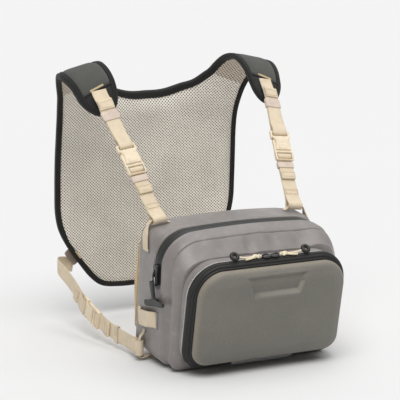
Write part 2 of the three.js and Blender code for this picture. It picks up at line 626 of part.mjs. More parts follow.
// Plate cut from an outline of v, w points, lying on the left side between two heights off it
function sidePlate(outline, near, far, hole = null) {
  const shape = new THREE.Shape(outline.map(([v, w]) => new THREE.Vector2(v, w)));
  if (hole) shape.holes.push(new THREE.Path(hole.map(([v, w]) => new THREE.Vector2(v, w))));
  const geometry = new THREE.ExtrudeGeometry(shape, { depth: far - near, bevelEnabled: false });
  const turn = new THREE.Matrix4().makeBasis(V(0, 1, 0), V(0, 0, 1), V(1, 0, 0)).setPosition(-far, 0, 0);
  return geometry.applyMatrix4(turn).applyMatrix4(bagMatrix);
}

// Main slider, its link and its T pull, hanging at the left end of the zip
const sliderFoot = BAG_HALF + 1.9 + GAP;
const SLIDER_EDGE = [
  [-65, 96], [-63, 92], [-57, 92], [-55, 96], [-55.5, 108], [-54.5, 116], [-57, 119], [-63, 119],
  [-65.5, 116], [-64.5, 108],
];
piece('main_slider', sidePlate(SLIDER_EDGE, sliderFoot, sliderFoot + 4), ZIP_BLACK);
const LINK_EDGE = [[-63.5, 92], [-56.5, 92], [-56.5, 104], [-63.5, 104]];
const LINK_HOLE = [[-62, 93.5], [-58, 93.5], [-58, 102.5], [-62, 102.5]];
const linkFoot = sliderFoot + 4 + GAP;
piece('main_link', sidePlate(LINK_EDGE, linkFoot, linkFoot + 1.4, LINK_HOLE), LINK_STEEL);
const PULL_EDGE = [
  [-64.5, 96], [-63.8, 78], [-67, 75.5], [-84, 79], [-90, 80.5], [-94.5, 78.5], [-94.5, 74.5], [-90, 72],
  [-62, 66], [-40, 60], [-35, 59.5], [-32.5, 62], [-33.5, 65.5], [-38, 67.5], [-53, 71], [-56.2, 74.5],
  [-55.5, 96], [-57.5, 98], [-62.5, 98],
].reverse();
const pullFoot = linkFoot + 1.4 + GAP;
piece('main_pull', sidePlate(PULL_EDGE, pullFoot, pullFoot + 3.2), PULL_RUBBER);

// Webbing loop on the left side: v, height off the side
const SIDE_LOOP = [
  [-8, 0], [-15, 0.2], [-21, 3], [-27, 6.5], [-38, 7.5], [-49, 6.5], [-55, 3], [-62, 0.2], [-68, 0],
];
function sideLoop() {
  const face = (lift) => SIDE_LOOP.map(([v, rise]) => [35, 57.5].map((w) => {
    const u = BAG_HALF - bodyInset(v) + GAP + rise + lift;
    return V(-u, v, w - 0.16 * (v + 60));
  }));
  return sheetSolid(face(WEB_THICK), face(0)).applyMatrix4(bagMatrix);
}
piece('side_loop', sideLoop(), WEBBING);

// Corner loops: webbing bridging a rear corner, seated on the bag at both ends: u, w
const LOOP_HALF = 3.2;
const LOW_LOOP_V = LOW_EYE.v;
const TOP_LOOP = [
  [66, 160.8], [76, 161.4], [86, 162.9], [108, 163.4], [114, 160], [117.8, 152], [118.6, 142],
  [116.6, 130], [116, 120],
];
const LOW_LOOP = [
  [116.6, 25], [117.6, 20], [121.8, 14], [122.4, -9.6], [120, -13.2], [114, -14.4], [104, -12.9],
  [92, -10.7], [82, -10.1],
];

function cornerLoop(path, middle) {
  const face = (lift) => path.map(([u, w], i) => {
    const [u0, w0] = path[Math.max(i - 1, 0)];
    const [u1, w1] = path[Math.min(i + 1, path.length - 1)];
    const length = Math.hypot(u1 - u0, w1 - w0);
    const out = [-(w1 - w0) / length, (u1 - u0) / length];
    return [middle - LOOP_HALF, middle + LOOP_HALF].map((v) => V(u + out[0] * lift, v, w + out[1] * lift));
  });
  return sheetSolid(face(-0.65), face(0.65)).applyMatrix4(bagMatrix);
}
pair('corner_loop_top', cornerLoop(TOP_LOOP, LOOP_V), WEBBING);
pair('corner_loop_bottom', cornerLoop(LOW_LOOP, LOW_LOOP_V), WEBBING);

// Pocket: rings round its outline, leaning forward at the top
const lean = (v, w) => v - POCKET_TILT * (w - POCKET_MID);
function ringSolid(outline, rows) {
  const arc = 6;
  const rings = rows.map(({ inset, v, upright }) => outlinePoints(outline, inset, arc)
    .map(({ u, w }) => V(u, upright ? v : lean(v, w), w)));
  return loftSolid(rings, true);
}

const gusset = ringSolid(GUSSET_OUTLINE, [
  { inset: 7.5, v: BAG_FRONT - GAP, upright: true }, { inset: 1, v: -109.2, upright: true },
  { inset: 0.6, v: -114.5 }, { inset: 0, v: -122 },
  { inset: 2, v: -122 }, { inset: 2.6, v: -114.5 }, { inset: 9.5, v: BAG_FRONT - GAP, upright: true },
]);
piece('pocket_gusset', gusset.applyMatrix4(bagMatrix), COATED_CLOTH);
const pocketZip = ringSolid(ZIP_OUTLINE, [
  { inset: 1.2, v: -122.3 }, { inset: 0, v: -125.5 }, { inset: 0.8, v: -128.5 },
  { inset: 6.6, v: -134 }, { inset: 9.4, v: -134 }, { inset: 3.6, v: -122.3 },
]);
piece('pocket_zip', pocketZip.applyMatrix4(bagMatrix), ZIP_BLACK);

// Moulded shell: cup with a domed front: inset, v
const SHELL_OUTER = [[0.5, -134.3], [0.8, -140], [4, -145.5], [11, -149.5], [18.5, -151.6]];
const SHELL_INNER = [[3, -133], [3.3, -139], [6.5, -143.2], [13, -147], [18.8, -149]];
const RECESS = { top: 121, low: 101, topHalf: 39, lowHalf: 31, slope: 4, depth: 4.2 };
const shellCup = (rows) => toSolid(loftSolid(rows.map(([inset, v]) => outlinePoints(SHELL_OUTLINE, inset, 6)
  .map(({ u, w }) => V(u, lean(v, w), w)))));

// Grip recess: a tapered block sunk into the front face; grow makes the clearance for the wall behind it
function recessTool(grow) {
  const { top, low, topHalf, lowHalf, slope, depth } = RECESS;
  const corners = (edge) => [
    [-lowHalf - edge, low - edge], [lowHalf + edge, low - edge],
    [topHalf + edge, top + edge], [-topHalf - edge, top + edge],
  ];
  const ring = (edge, v) => corners(edge).map(([u, w]) => V(u, lean(v, w), w));
  const face = -151.5;
  const floor = ring(grow, face + depth + grow);
  return toSolid(loftSolid([floor, ring(slope + grow, face), ring(slope + 2 + grow, face - 4)]));
}
const shellSolid = shellCup(SHELL_OUTER)
  .subtract(shellCup(SHELL_INNER).subtract(recessTool(POCKET_WALL)))
  .subtract(recessTool(0));
piece('pocket_shell', fromSolid(shellSolid).applyMatrix4(bagMatrix), SHELL_GREY);

// Cloth hinge under the pocket, laid over its zip: v, rise
const HINGE = [[-119, 0], [-125.5, 0], [-128.6, 0.6], [-134.3, 6.4]];
function hinge() {
  const ends = [-43, 43];
  const face = (depth) => HINGE.map(([v, rise]) => {
    const w = ZIP_OUTLINE.low - GAP + rise - depth;
    return ends.map((u) => V(u, lean(v - 0.1 * rise * depth, w), w));
  });
  return sheetSolid(face(0), face(1.2)).applyMatrix4(bagMatrix);
}
piece('pocket_hinge', hinge(), COATED_CLOTH);

// Sliders of the pocket zip with cord pulls and rubber rings, lying on the top of the pocket
const deck = ZIP_OUTLINE.high + GAP;
const deckV = lean(-125, ZIP_OUTLINE.high);
function pocketSlider() {
  const edge = [[0.6, -3.4], [9, -4.4], [12, -2.2], [12, 2.2], [9, 4.4], [0.6, 3.4]];
  const face = (w) => edge.map(([u, v]) => V(u, deckV + v, w));
  return loftSolid([face(deck), face(deck + 2.6), face(deck + 4).map((p) => p.multiply(V(0.9, 1, 1)))])
    .applyMatrix4(bagMatrix);
}
pair('pocket_slider', pocketSlider(), ZIP_BLACK);

// Cord: a round strand through points of u, v, w
function strand(points, radius) {
  const curve = new THREE.CatmullRomCurve3(points.map(([u, v, w]) => V(u, v, w)), false, 'centripetal');
  const circle = new THREE.Shape(steps(6).slice(0, -1).map((t) =>
    new THREE.Vector2(radius * Math.cos(2 * Math.PI * t), radius * Math.sin(2 * Math.PI * t))));
  return toSolid(new THREE.ExtrudeGeometry(circle, { steps: 4, extrudePath: curve }));
}
function pocketCord() {
  const w = deck + 1.6;
  const knot = new THREE.SphereGeometry(1, 8, 5).scale(4.6, 2.4, 2).translate(19.5, deckV, deck + 2.3);
  const pull = strand([
    [12.6, deckV, w + 0.6], [19, deckV, w + 0.8], [30, deckV + 0.6, w + 0.6], [43.4, deckV + 0.4, w + 2.2],
  ], 1);
  const end = strand([[20, deckV, w + 0.4], [28, deckV - 2.4, w - 0.2], [36.5, deckV - 3.8, w - 0.4]], 1);
  return fromSolid(pull.add(end).add(toSolid(knot))).applyMatrix4(bagMatrix);
}
pair('pocket_cord', pocketCord(), WEBBING);
const ring = new THREE.TorusGeometry(4.2, 2.1, 5, 10).rotateX(Math.PI / 2);
ring.translate(50, deckV + 0.4, deck + 6.2);
pair('pocket_ring', ring.applyMatrix4(bagMatrix), PULL_RUBBER);

export default pack;
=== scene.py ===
"""Looks of a fishing chest pack: mesh, cloth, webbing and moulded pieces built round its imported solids."""

import logging
import math
from dataclasses import dataclass, field
from enum import Enum
from typing import Callable, Optional, Sequence, Union

import bmesh
import bpy
import numpy as np
from mathutils import Matrix, Vector


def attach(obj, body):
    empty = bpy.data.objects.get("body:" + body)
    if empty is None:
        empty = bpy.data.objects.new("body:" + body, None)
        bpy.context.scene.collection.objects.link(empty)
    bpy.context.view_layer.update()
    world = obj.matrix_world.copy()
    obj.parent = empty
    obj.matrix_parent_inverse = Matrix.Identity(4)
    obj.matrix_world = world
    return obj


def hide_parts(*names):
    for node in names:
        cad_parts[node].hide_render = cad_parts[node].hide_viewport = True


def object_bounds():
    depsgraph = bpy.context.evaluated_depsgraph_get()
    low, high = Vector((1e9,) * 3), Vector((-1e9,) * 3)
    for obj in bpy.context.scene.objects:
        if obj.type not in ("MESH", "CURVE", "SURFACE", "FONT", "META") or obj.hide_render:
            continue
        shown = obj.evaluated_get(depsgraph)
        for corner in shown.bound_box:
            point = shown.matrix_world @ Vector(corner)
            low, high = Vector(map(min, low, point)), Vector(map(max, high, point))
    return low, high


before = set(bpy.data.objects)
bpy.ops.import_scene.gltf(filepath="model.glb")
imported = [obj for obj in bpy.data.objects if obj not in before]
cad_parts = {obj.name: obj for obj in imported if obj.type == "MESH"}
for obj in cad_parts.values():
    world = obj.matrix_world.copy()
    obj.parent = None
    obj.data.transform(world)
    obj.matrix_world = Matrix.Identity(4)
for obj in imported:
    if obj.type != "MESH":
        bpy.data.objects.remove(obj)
SOLID_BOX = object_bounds()

LOG = logging.getLogger("chest_pack")
Array = np.ndarray
Numbers = Union[float, Array]
Rows = Sequence[Sequence[float]]
Colour = tuple[int, int, int]
Pieces = list[bpy.types.Object]
MM = 0.001
FULL_TURN = 2.0 * math.pi
PATTERN = "pattern"
WEB_WIDTH = 20.0
WEB_THICK = 1.5
GAP = 0.3


class Slot(Enum):
    """Material slots of the record."""

    SPACER_MESH = "spacer_mesh"
    DARK_CLOTH = "dark_cloth"
    TIP_CLOTH = "tip_cloth"
    EDGE_TAPE = "edge_tape"
    WEBBING = "webbing"
    ELASTIC = "elastic"
    BUCKLE_PLASTIC = "buckle_plastic"
    TAB_CLOTH = "tab_cloth"
    COATED_CLOTH = "coated_cloth"
    TAN_MESH = "tan_mesh"
    ZIP_RUBBER = "zip_rubber"
    PULL_RUBBER = "pull_rubber"
    LINK_STEEL = "link_steel"
    SHELL_CLOTH = "shell_cloth"


class Side(Enum):
    """The two sides of the pack, as the sign of x."""

    RIGHT = 1.0
    LEFT = -1.0

    def named(self, word: str) -> str:
        """A name with this side as its ending."""
        return f"{word}_{self.name.lower()}"

    def take(self, surfaces: Sequence["Surface"]) -> list["Surface"]:
        """Surfaces that were built for the right, put on this side."""
        return [surface.moved(lambda p: p * (self.value, 1.0, 1.0)) for surface in surfaces]


def smooth_step(low: float, high: float, x: Array) -> Array:
    """Rise from 0 at low to 1 at high with level ends: 3t^2 - 2t^3.

    Args:
        low: Where the rise starts.
        high: Where it ends.
        x: Values to ease.

    Returns:
        Eased values, from 0 to 1.
    """
    t = np.clip((np.asarray(x, float) - low) / (high - low), 0.0, 1.0)
    return t * t * (3.0 - 2.0 * t)


def bell(x: Array, centre: float, width: float) -> Array:
    """Round hump of height 1: exp(-((x - centre) / width)^2)."""
    return np.exp(-(((np.asarray(x, float) - centre) / width) ** 2))


def unit(vectors: Array) -> Array:
    """Vectors along the last axis, scaled to length 1."""
    return vectors / np.maximum(np.linalg.norm(vectors, axis=-1, keepdims=True), 1e-9)


def lengths(line: Array) -> Array:
    """Way along a line at each of its points, from 0."""
    return np.concatenate([[0.0], np.cumsum(np.linalg.norm(np.diff(line, axis=0), axis=1))])


def shut(line: Array) -> Array:
    """A closed line with its first point repeated at its end."""
    return np.vstack([line, line[:1]])


def circle(count: int) -> Array:
    """Angles evenly round a full turn, from 0."""
    return np.linspace(0, FULL_TURN, count, endpoint=False)


def squared_off(x: Array, power: float) -> Array:
    """Values from -1 to 1 pushed towards the ends: their size to a power, with the sign kept."""
    return np.sign(x) * np.abs(x) ** power


def rows_at(x: Array, marks: Array, rows: Array) -> Array:
    """Rows read off at x by straight lines between marks, one column at a time."""
    return np.stack([np.interp(x, marks, column) for column in np.asarray(rows, float).T], axis=-1)


def curve_through(points: Rows, per_span: int, closed: bool = False) -> Array:
    """Centripetal Catmull-Rom curve: cubic spans whose knots are spaced by the square root of the chord.

    Args:
        points: Points the curve passes through.
        per_span: Samples in each span.
        closed: Whether the last point joins the first.

    Returns:
        Points of the curve; an open one ends on the last point.
    """
    p = np.asarray(points, float)
    ends = (p[-1:], p[:2]) if closed else (2 * p[:1] - p[1:2], 2 * p[-1:] - p[-2:-1])
    p = np.vstack([ends[0], p, ends[1]])
    knot = np.maximum(np.sqrt(np.linalg.norm(np.diff(p, axis=0), axis=1)), 1e-6)[:, None]
    p0, p1, p2, p3 = p[:-3], p[1:-2], p[2:-1], p[3:]
    d0, d1, d2 = knot[:-2], knot[1:-1], knot[2:]
    m1 = ((p1 - p0) / d0 - (p2 - p0) / (d0 + d1) + (p2 - p1) / d1) * d1
    m2 = ((p2 - p1) / d1 - (p3 - p1) / (d1 + d2) + (p3 - p2) / d2) * d1
    t = (np.arange(per_span) / per_span)[None, :, None]
    a, b, c, d = (q[:, None] for q in (p1, p2, m1, m2))
    curve = (2 * t**3 - 3 * t**2 + 1) * a + (3 * t**2 - 2 * t**3) * b
    curve = curve + (t**3 - 2 * t**2 + t) * c + (t**3 - t**2) * d
    flat = curve.reshape(-1, p.shape[1])
    return flat if closed else np.vstack([flat, p[-2:-1]])


def evenly(line: Array, step: float) -> Array:
    """The same line with points evenly spaced along it, ends kept.

    Args:
        line: Points of the line.
        step: About how far apart the new points are.

    Returns:
        The new points.
    """
    way = lengths(line)
    count = max(2, int(round(way[-1] / step)) + 1)
    return rows_at(np.linspace(0.0, way[-1], count), way, line)


@dataclass(frozen=True)
class Table:
    """Smooth curve through rows of x, y that never overshoots a row."""

    rows: Rows

    def at(self, x: Array) -> Array:
        """Value at x: cubic Hermite spans, sloped by the weighted harmonic mean of their neighbours.

        Args:
            x: Places to read, held to the table's ends.

        Returns:
            Values of the curve.
        """
        data = np.asarray(sorted(map(tuple, self.rows)), float)
        xs, ys = data[:, 0], data[:, 1]
        h = np.diff(xs)
        slope = np.diff(ys) / h
        before, after = slope[:-1], slope[1:]
        w0, w1 = 2 * h[1:] + h[:-1], h[1:] + 2 * h[:-1]
        same = before * after > 0
        mean = np.where(same, (w0 + w1) / (w0 / np.where(same, before, 1) + w1 / np.where(same, after, 1)), 0)
        tangent = np.concatenate([[slope[0]], mean, [slope[-1]]])
        x = np.clip(np.asarray(x, float), xs[0], xs[-1])
        k = np.clip(np.searchsorted(xs, x, side="right") - 1, 0, len(h) - 1)
        t = (x - xs[k]) / h[k]
        low = (1 + 2 * t) * (1 - t) ** 2 * ys[k] + t * (1 - t) ** 2 * h[k] * tangent[k]
        return low + t * t * (3 - 2 * t) * ys[k + 1] + t * t * (t - 1) * h[k] * tangent[k + 1]


@dataclass
class Surface:
    """Grid of points in millimetres, with pattern coordinates along and across it.

    coords has one row or column more than points where that way is closed.
    """

    points: Array
    coords: Array
    closed_rows: bool = False
    closed_cols: bool = False
    capped: bool = False

    def moved(self, place: Callable[[Array], Array]) -> "Surface":
        """The surface with its points put elsewhere by a function."""
        return Surface(place(self.points), self.coords, self.closed_rows, self.closed_cols, self.capped)

    def faces(self) -> tuple[list[list[int]], Array]:
        """Faces of the grid, with a cap on the first and last row where it is capped.

        Returns:
            Corner numbers of each face, and the pattern coordinates of the corners.
        """
        rows, cols = self.points.shape[:2]
        index = np.arange(rows * cols).reshape(rows, cols)
        index = shut(index) if self.closed_rows else index
        index = np.hstack([index, index[:, :1]]) if self.closed_cols else index

        def corners(grid: Array) -> Array:
            """Four corners of each cell of a grid."""
            return np.stack([grid[:-1, :-1], grid[:-1, 1:], grid[1:, 1:], grid[1:, :-1]], axis=2)

        faces = corners(index).reshape(-1, 4).tolist()
        places = [corners(self.coords).reshape(-1, 2)]
        if self.capped:
            faces += [index[0, :-1][::-1].tolist(), index[-1, :-1].tolist()]
            places += [self.coords[0, :-1][::-1], self.coords[-1, :-1]]
        return faces, np.vstack(places)


def grid_coords(along: Array, across: Array) -> Array:
    """Pattern coordinates of a grid from its rows' and columns' marks."""
    return np.stack(np.meshgrid(along, across, indexing="ij"), axis=-1)


def slab(low: Array, high: Array, coords: Array) -> list[Surface]:
    """Closed sheet between two grids: each row runs out on one face and back on the other.

    The first and last row are doubled by rows pinched to the middle of the sheet, which closes its ends.

    Args:
        low: Points of one face, rows by columns.
        high: Points of the other face.
        coords: Pattern coordinates of the grid.

    Returns:
        One closed surface.
    """
    loop = np.concatenate([low, high[:, ::-1]], axis=1)
    middle = (low + high) / 2
    ends = np.concatenate([middle, middle[:, ::-1]], axis=1)
    points = np.concatenate([ends[:1], loop, ends[-1:]], axis=0)
    places = np.concatenate([coords, coords[:, ::-1], coords[:, :1]], axis=1)
    places = np.concatenate([places[:1], places, places[-1:]], axis=0)
    return [Surface(points, places, closed_cols=True)]


Plain = Union[float, "Value"]


class Value:
    """Shader socket that takes part in Python sums; each operation adds a Math node."""

    def __init__(self, sheet: "NodeSheet", socket: bpy.types.NodeSocket) -> None:
        """Wrap one output socket of a node sheet."""
        self.sheet = sheet
        self.socket = socket

    def __add__(self, other: Plain) -> "Value":
        """Sum."""
        return self.sheet.math("ADD", self, other)

    def __sub__(self, other: Plain) -> "Value":
        """Difference."""
        return self.sheet.math("SUBTRACT", self, other)

    def __rsub__(self, other: float) -> "Value":
        """Difference from a number."""
        return self.sheet.math("SUBTRACT", other, self)

    def __mul__(self, other: Plain) -> "Value":
        """Product."""
        return self.sheet.math("MULTIPLY", self, other)

    __radd__ = __add__
    __rmul__ = __mul__

    def sine(self) -> "Value":
        """Sine of radians."""
        return self.sheet.math("SINE", self)

    def size(self) -> "Value":
        """Value without its sign."""
        return self.sheet.math("ABSOLUTE", self)

    def part(self) -> "Value":
        """Part after the decimal point."""
        return self.sheet.math("FRACT", self)

    def root(self) -> "Value":
        """Square root."""
        return self.sheet.math("SQRT", self)

    def most(self, other: Plain) -> "Value":
        """Larger of two values."""
        return self.sheet.math("MAXIMUM", self, other)

    def eased(self, low: float, high: float) -> "Value":
        """Smooth rise from 0 at low to 1 at high, or a fall where low is the larger.

        Args:
            low: Where the result is 0.
            high: Where it is 1.

        Returns:
            The eased value.
        """
        ends = (low, high, 0.0, 1.0) if low < high else (high, low, 1.0, 0.0)
        node = self.sheet.node(
            "ShaderNodeMapRange",
            {"interpolation_type": "SMOOTHSTEP"},
            {0: self, 1: ends[0], 2: ends[1], 3: ends[2], 4: ends[3]},
        )
        return Value(self.sheet, node.outputs[0])


Input = Union[float, Sequence[float], Value, bpy.types.NodeSocket]


def linear(colour: Colour) -> tuple[float, float, float, float]:
    """Display colour as the linear colour of a shader socket.

    Args:
        colour: Red, green and blue from 0 to 255.

    Returns:
        Red, green, blue and alpha from 0 to 1.
    """
    c = np.asarray(colour, float) / 255.0
    out = np.where(c <= 0.04045, c / 12.92, ((c + 0.055) / 1.055) ** 2.4)
    return (float(out[0]), float(out[1]), float(out[2]), 1.0)


class NodeSheet:
    """Node tree of one material, with a Principled shader at its end."""

    def __init__(self, name: str) -> None:
        """Start an empty material.

        Args:
            name: Name of the material.
        """
        self.material = bpy.data.materials.new(name)
        self.material.use_nodes = True
        self.tree = self.material.node_tree
        self.tree.nodes.clear()
        self.shader = self.node("ShaderNodeBsdfPrincipled")
        self.node("ShaderNodeOutputMaterial", inputs={"Surface": self.shader.outputs[0]})

    def node(
        self,
        kind: str,
        settings: Optional[dict[str, object]] = None,
        inputs: Optional[dict[Union[str, int], Input]] = None,
    ) -> bpy.types.Node:
        """Add a node: its settings first, then the values or links of its sockets.

        Args:
            kind: Node type.
            settings: Attributes of the node.
            inputs: Socket names or numbers with what they get.

        Returns:
            The new node.
        """
        node = self.tree.nodes.new(kind)
        for key, value in (settings or {}).items():
            setattr(node, key, value)
        for key, value in (inputs or {}).items():
            self.give(node.inputs[key], value)
        return node

    def give(self, socket: bpy.types.NodeSocket, value: Input) -> None:
        """Link a socket to a value, or set its number.

        Args:
            socket: Input socket.
            value: Wrapped value, output socket, number or numbers.
        """
        value = value.socket if isinstance(value, Value) else value
        if isinstance(value, bpy.types.NodeSocket):
            self.tree.links.new(value, socket)
        else:
            socket.default_value = value

    def math(self, operation: str, *parts: Plain) -> Value:
        """One Math node on values and numbers."""
        node = self.node("ShaderNodeMath", {"operation": operation}, dict(enumerate(parts)))
        return Value(self, node.outputs[0])

    def along_across(self) -> tuple[Value, Value]:
        """The piece's own pattern coordinates.

        Returns:
            Millimetres along and across the piece.
        """
        uv = self.node("ShaderNodeUVMap", {"uv_map": PATTERN})
        split = self.node("ShaderNodeSeparateXYZ", inputs={0: uv.outputs[0]})
        return Value(self, split.outputs[0]), Value(self, split.outputs[1])

    def noise(self, pitch: float, detail: float = 2.0) -> Value:
        """Cloudy variation about 0.5, over the object's own coordinates.

        Args:
            pitch: Size of a cloud in metres.
            detail: Finer layers added to it.

        Returns:
            The noise.
        """
        place = self.node("ShaderNodeTexCoord").outputs["Object"]
        inputs = {"Vector": place, "Scale": 1.0 / pitch, "Detail": detail}
        return Value(self, self.node("ShaderNodeTexNoise", inputs=inputs).outputs[0])

    def mix(self, share: Plain, first: Input, second: Input) -> bpy.types.NodeSocket:
        """Colour between two colours by a share from 0 to 1."""
        node = self.node("ShaderNodeMix", {"data_type": "RGBA"}, {0: share, 6: first, 7: second})
        return node.outputs[2]

    def dress(
        self,
        colour: Input,
        roughness: Plain,
        height: Optional[Value] = None,
        depth: float = 0.0,
    ) -> None:
        """Feed the shader's colour, roughness and bump.

        Args:
            colour: Base colour.
            roughness: Roughness, one number or a value.
            height: Relief from 0 to 1.
            depth: Depth of that relief in millimetres.
        """
        self.give(self.shader.inputs["Base Color"], colour)
        self.give(self.shader.inputs["Roughness"], roughness)
        if height is not None:
            relief = {"Strength": 1.0, "Distance": depth * MM, "Height": height}
            bump = self.node("ShaderNodeBump", inputs=relief)
            self.give(self.shader.inputs["Normal"], bump.outputs[0])

    def fix(self, **numbers: float) -> None:
        """Set constants on the shader's own sockets, with _ for a space in their names."""
        for name, value in numbers.items():
            self.shader.inputs[name.replace("_", " ")].default_value = value


def shade(colour: Colour, factor: float) -> tuple[float, float, float, float]:
    """Linear colour made lighter or darker by a factor."""
    r, g, b, alpha = linear(colour)
    return (r * factor, g * factor, b * factor, alpha)


Tones = tuple[float, float]


@dataclass(frozen=True)
class Finish:
    """A surface finish, made once and shared by the pieces that wear it, with the record's slot for it.

    In every finish, the sizes of clouds and grain are in metres, those of a weave and the depth of its relief
    in millimetres, and tones are the factors of its colour at its darkest and its lightest.
    """

    name: str
    slot: Optional[Slot]
    colour: Colour

    def material(self) -> bpy.types.Material:
        """The finish's material, painted at its first use.

        Returns:
            The material that has the finish's name.
        """
        found = bpy.data.materials.get(self.name)
        if found is None:
            sheet = NodeSheet(self.name)
            self.paint(sheet)
            found = sheet.material
        return found

    def tint(self, sheet: NodeSheet, share: Value, tones: Tones) -> bpy.types.NodeSocket:
        """The finish's colour, from its dark to its light tone by a share from 0 to 1."""
        return sheet.mix(share, shade(self.colour, tones[0]), shade(self.colour, tones[1]))

    def paint(self, sheet: NodeSheet) -> None:
        """Fill the material's node sheet; each kind of finish has its own way."""
        raise NotImplementedError


@dataclass(frozen=True)
class SpacerMesh(Finish):
    """Knitted spacer mesh: slanting rows of small holes between round yarns, the holes painted in shade."""

    # colour of the painted shade in the holes
    shaded_hole: Colour
    along_step: float = 3.9
    across_step: float = 4.1
    open_share: float = 0.31
    cloud: float = 0.05
    fuzz: float = 0.0012
    tones: Tones = (0.86, 1.08)
    depth: float = 0.5

    def paint(self, sheet: NodeSheet) -> None:
        """Holes where the distance from the nearest point of a slanted lattice is small; they get painted
        shade and a bump.

        Args:
            sheet: Node sheet of the material.
        """
        along, across = sheet.along_across()
        rows, columns = along * (1.0 / self.along_step), across * (1.0 / self.across_step)
        first = (rows + columns).part() - 0.5
        second = (rows - columns).part() - 0.5
        radius = (first * first + second * second).root()
        shaded_hole = radius.eased(self.open_share + 0.1, self.open_share - 0.12)
        cloud = sheet.noise(self.cloud) * 0.5 + sheet.noise(self.fuzz, 1.0) * 0.5
        yarn = self.tint(sheet, cloud.eased(0.3, 0.7), self.tones)
        # Painted shade: the holes take the dark colour over the yarn.
        sheet.dress(sheet.mix(shaded_hole * 0.9, yarn, linear(self.shaded_hole)), 0.85, 1.0 - shaded_hole, self.depth)
        sheet.fix(Sheen_Weight=0.12, Specular_IOR_Level=0.25)


@dataclass(frozen=True)
class Twill(Finish):
    """Woven cloth with a slanting rib."""

    pitch: float = 1.3
    roughness: float = 0.75
    sheen: float = 0.15
    cloud: float = 0.03
    tones: Tones = (0.72, 1.22)
    depth: float = 0.22

    def paint(self, sheet: NodeSheet) -> None:
        """Rib as a sine along a diagonal, broken by a finer thread across it.

        Args:
            sheet: Node sheet of the material.
        """
        along, across = sheet.along_across()
        turn = FULL_TURN / self.pitch
        rib = ((along + across * 1.4) * turn).sine() * 0.5 + 0.5
        thread = ((across - along * 0.3) * (turn * 1.7)).sine() * 0.5 + 0.5
        relief = rib * 0.65 + thread * 0.35
        cloud = sheet.noise(self.cloud, 3.0)
        tone = relief * 0.45 + cloud * 0.55
        colour = self.tint(sheet, tone.eased(0.2, 0.8), self.tones)
        sheet.dress(colour, cloud * 0.2 + (self.roughness - 0.1), relief, self.depth)
        sheet.fix(Sheen_Weight=self.sheen, Specular_IOR_Level=0.3)


@dataclass(frozen=True)
class Woven(Finish):
    """Flat webbing or tape: cross ribs, lengthwise lines and firm edges."""

    rib: float = 1.25
    line: float = 2.4
    half_width: float = WEB_WIDTH / 2
    contrast: float = 0.1
    cloud: float = 0.012
    depth: float = 0.2

    def paint(self, sheet: NodeSheet) -> None:
        """Ribs shifted by half a step from line to line, so that the weave reads as small bricks.

        Args:
            sheet: Node sheet of the material.
        """
        along, across = sheet.along_across()
        lines = (across * (FULL_TURN / self.line)).sine()
        ribs = (along * (FULL_TURN / self.rib) + lines.eased(-0.2, 0.2) * math.pi).sine()
        relief = ribs * 0.3 + lines.size() * 0.4 + 0.3
        edge = across.size().eased(self.half_width - 1.6, self.half_width - 0.4)
        cloud = sheet.noise(self.cloud, 3.0)
        tone = relief * 0.5 + cloud * 0.5 - edge * 0.22
        colour = self.tint(sheet, tone.eased(0.15, 0.8), (1.0 - 2.2 * self.contrast, 1.0 + self.contrast))
        sheet.dress(colour, cloud * 0.2 + 0.68, relief, self.depth)
        sheet.fix(Sheen_Weight=0.15, Specular_IOR_Level=0.3)


@dataclass(frozen=True)
class CoatedCloth(Finish):
    """Coated pack cloth: a fine even weave under a satin film, a little cloudy where it was flexed."""

    grain: float = 0.0009
    cloud: float = 0.045
    scuff: float = 0.011
    tones: Tones = (0.82, 1.14)
    depth: float = 0.16

    def paint(self, sheet: NodeSheet) -> None:
        """Weave of fine grains, with wide clouds in tone and in gloss.

        Args:
            sheet: Node sheet of the material.
        """
        grain = sheet.noise(self.grain, 1.0)
        cloud = sheet.noise(self.cloud, 3.0)
        scuff = sheet.noise(self.scuff, 4.0).eased(0.5, 0.75)
        tone = cloud * 0.62 + grain * 0.3 + scuff * 0.16
        colour = self.tint(sheet, tone.eased(0.3, 0.78), self.tones)
        sheet.dress(colour, cloud * 0.2 + 0.3, grain * 0.6 + cloud * 0.4, self.depth)
        sheet.fix(Specular_IOR_Level=0.5, Sheen_Weight=0.06, Coat_Weight=0.16, Coat_Roughness=0.4)


# Marks in the shell's edge coordinate: bare cloth, then where the painted highlight on the recess's lip
# starts and is full.
PLAIN_MARK = 90.0
LIP_START = 100.0
LIP_MARK = 113.0


@dataclass(frozen=True)
class MouldedCloth(Finish):
    """Cloth moulded over foam: fine speckle, with a painted highlight along its rounded rim and on its
    recess's lip.

    Its second pattern coordinate is the way in from the edge; PLAIN_MARK stands for bare cloth, and the lip's
    painted highlight fades in from LIP_START to LIP_MARK.
    """

    # rim is the colour of the painted highlight along the rounded edge
    rim: Colour
    rim_highlight_width: float = 15.0
    speck: float = 0.0013
    cloud: float = 0.05
    tones: Tones = (0.86, 1.12)
    lip_highlight_tone: float = 1.75
    depth: float = 0.2

    def paint(self, sheet: NodeSheet) -> None:
        """Speckle from small noise; a painted highlight fades in near the rim, and another on the lip where
        it is marked.

        Args:
            sheet: Node sheet of the material.
        """
        _, edge = sheet.along_across()
        speck = sheet.noise(self.speck, 2.0)
        cloud = sheet.noise(self.cloud, 3.0)
        tone = speck * 0.55 + cloud * 0.45
        cloth = self.tint(sheet, tone.eased(0.3, 0.75), self.tones)
        # Painted highlight: a lighter band near the rounded edge.
        rim_highlight = edge.eased(self.rim_highlight_width, 4.0) * (speck * 0.4 + 0.4)
        # Painted highlight on the recess's lip: a lighter copy of the cloth's own colour.
        lip_highlight = edge.eased(LIP_START, LIP_MARK) * (speck * 0.3 + 0.4)
        cloth = sheet.mix(lip_highlight, sheet.mix(rim_highlight, cloth, linear(self.rim)), shade(self.colour, self.lip_highlight_tone))
        sheet.dress(cloth, cloud * 0.2 + 0.5, speck, self.depth)
        sheet.fix(Specular_IOR_Level=0.4, Sheen_Weight=0.1)


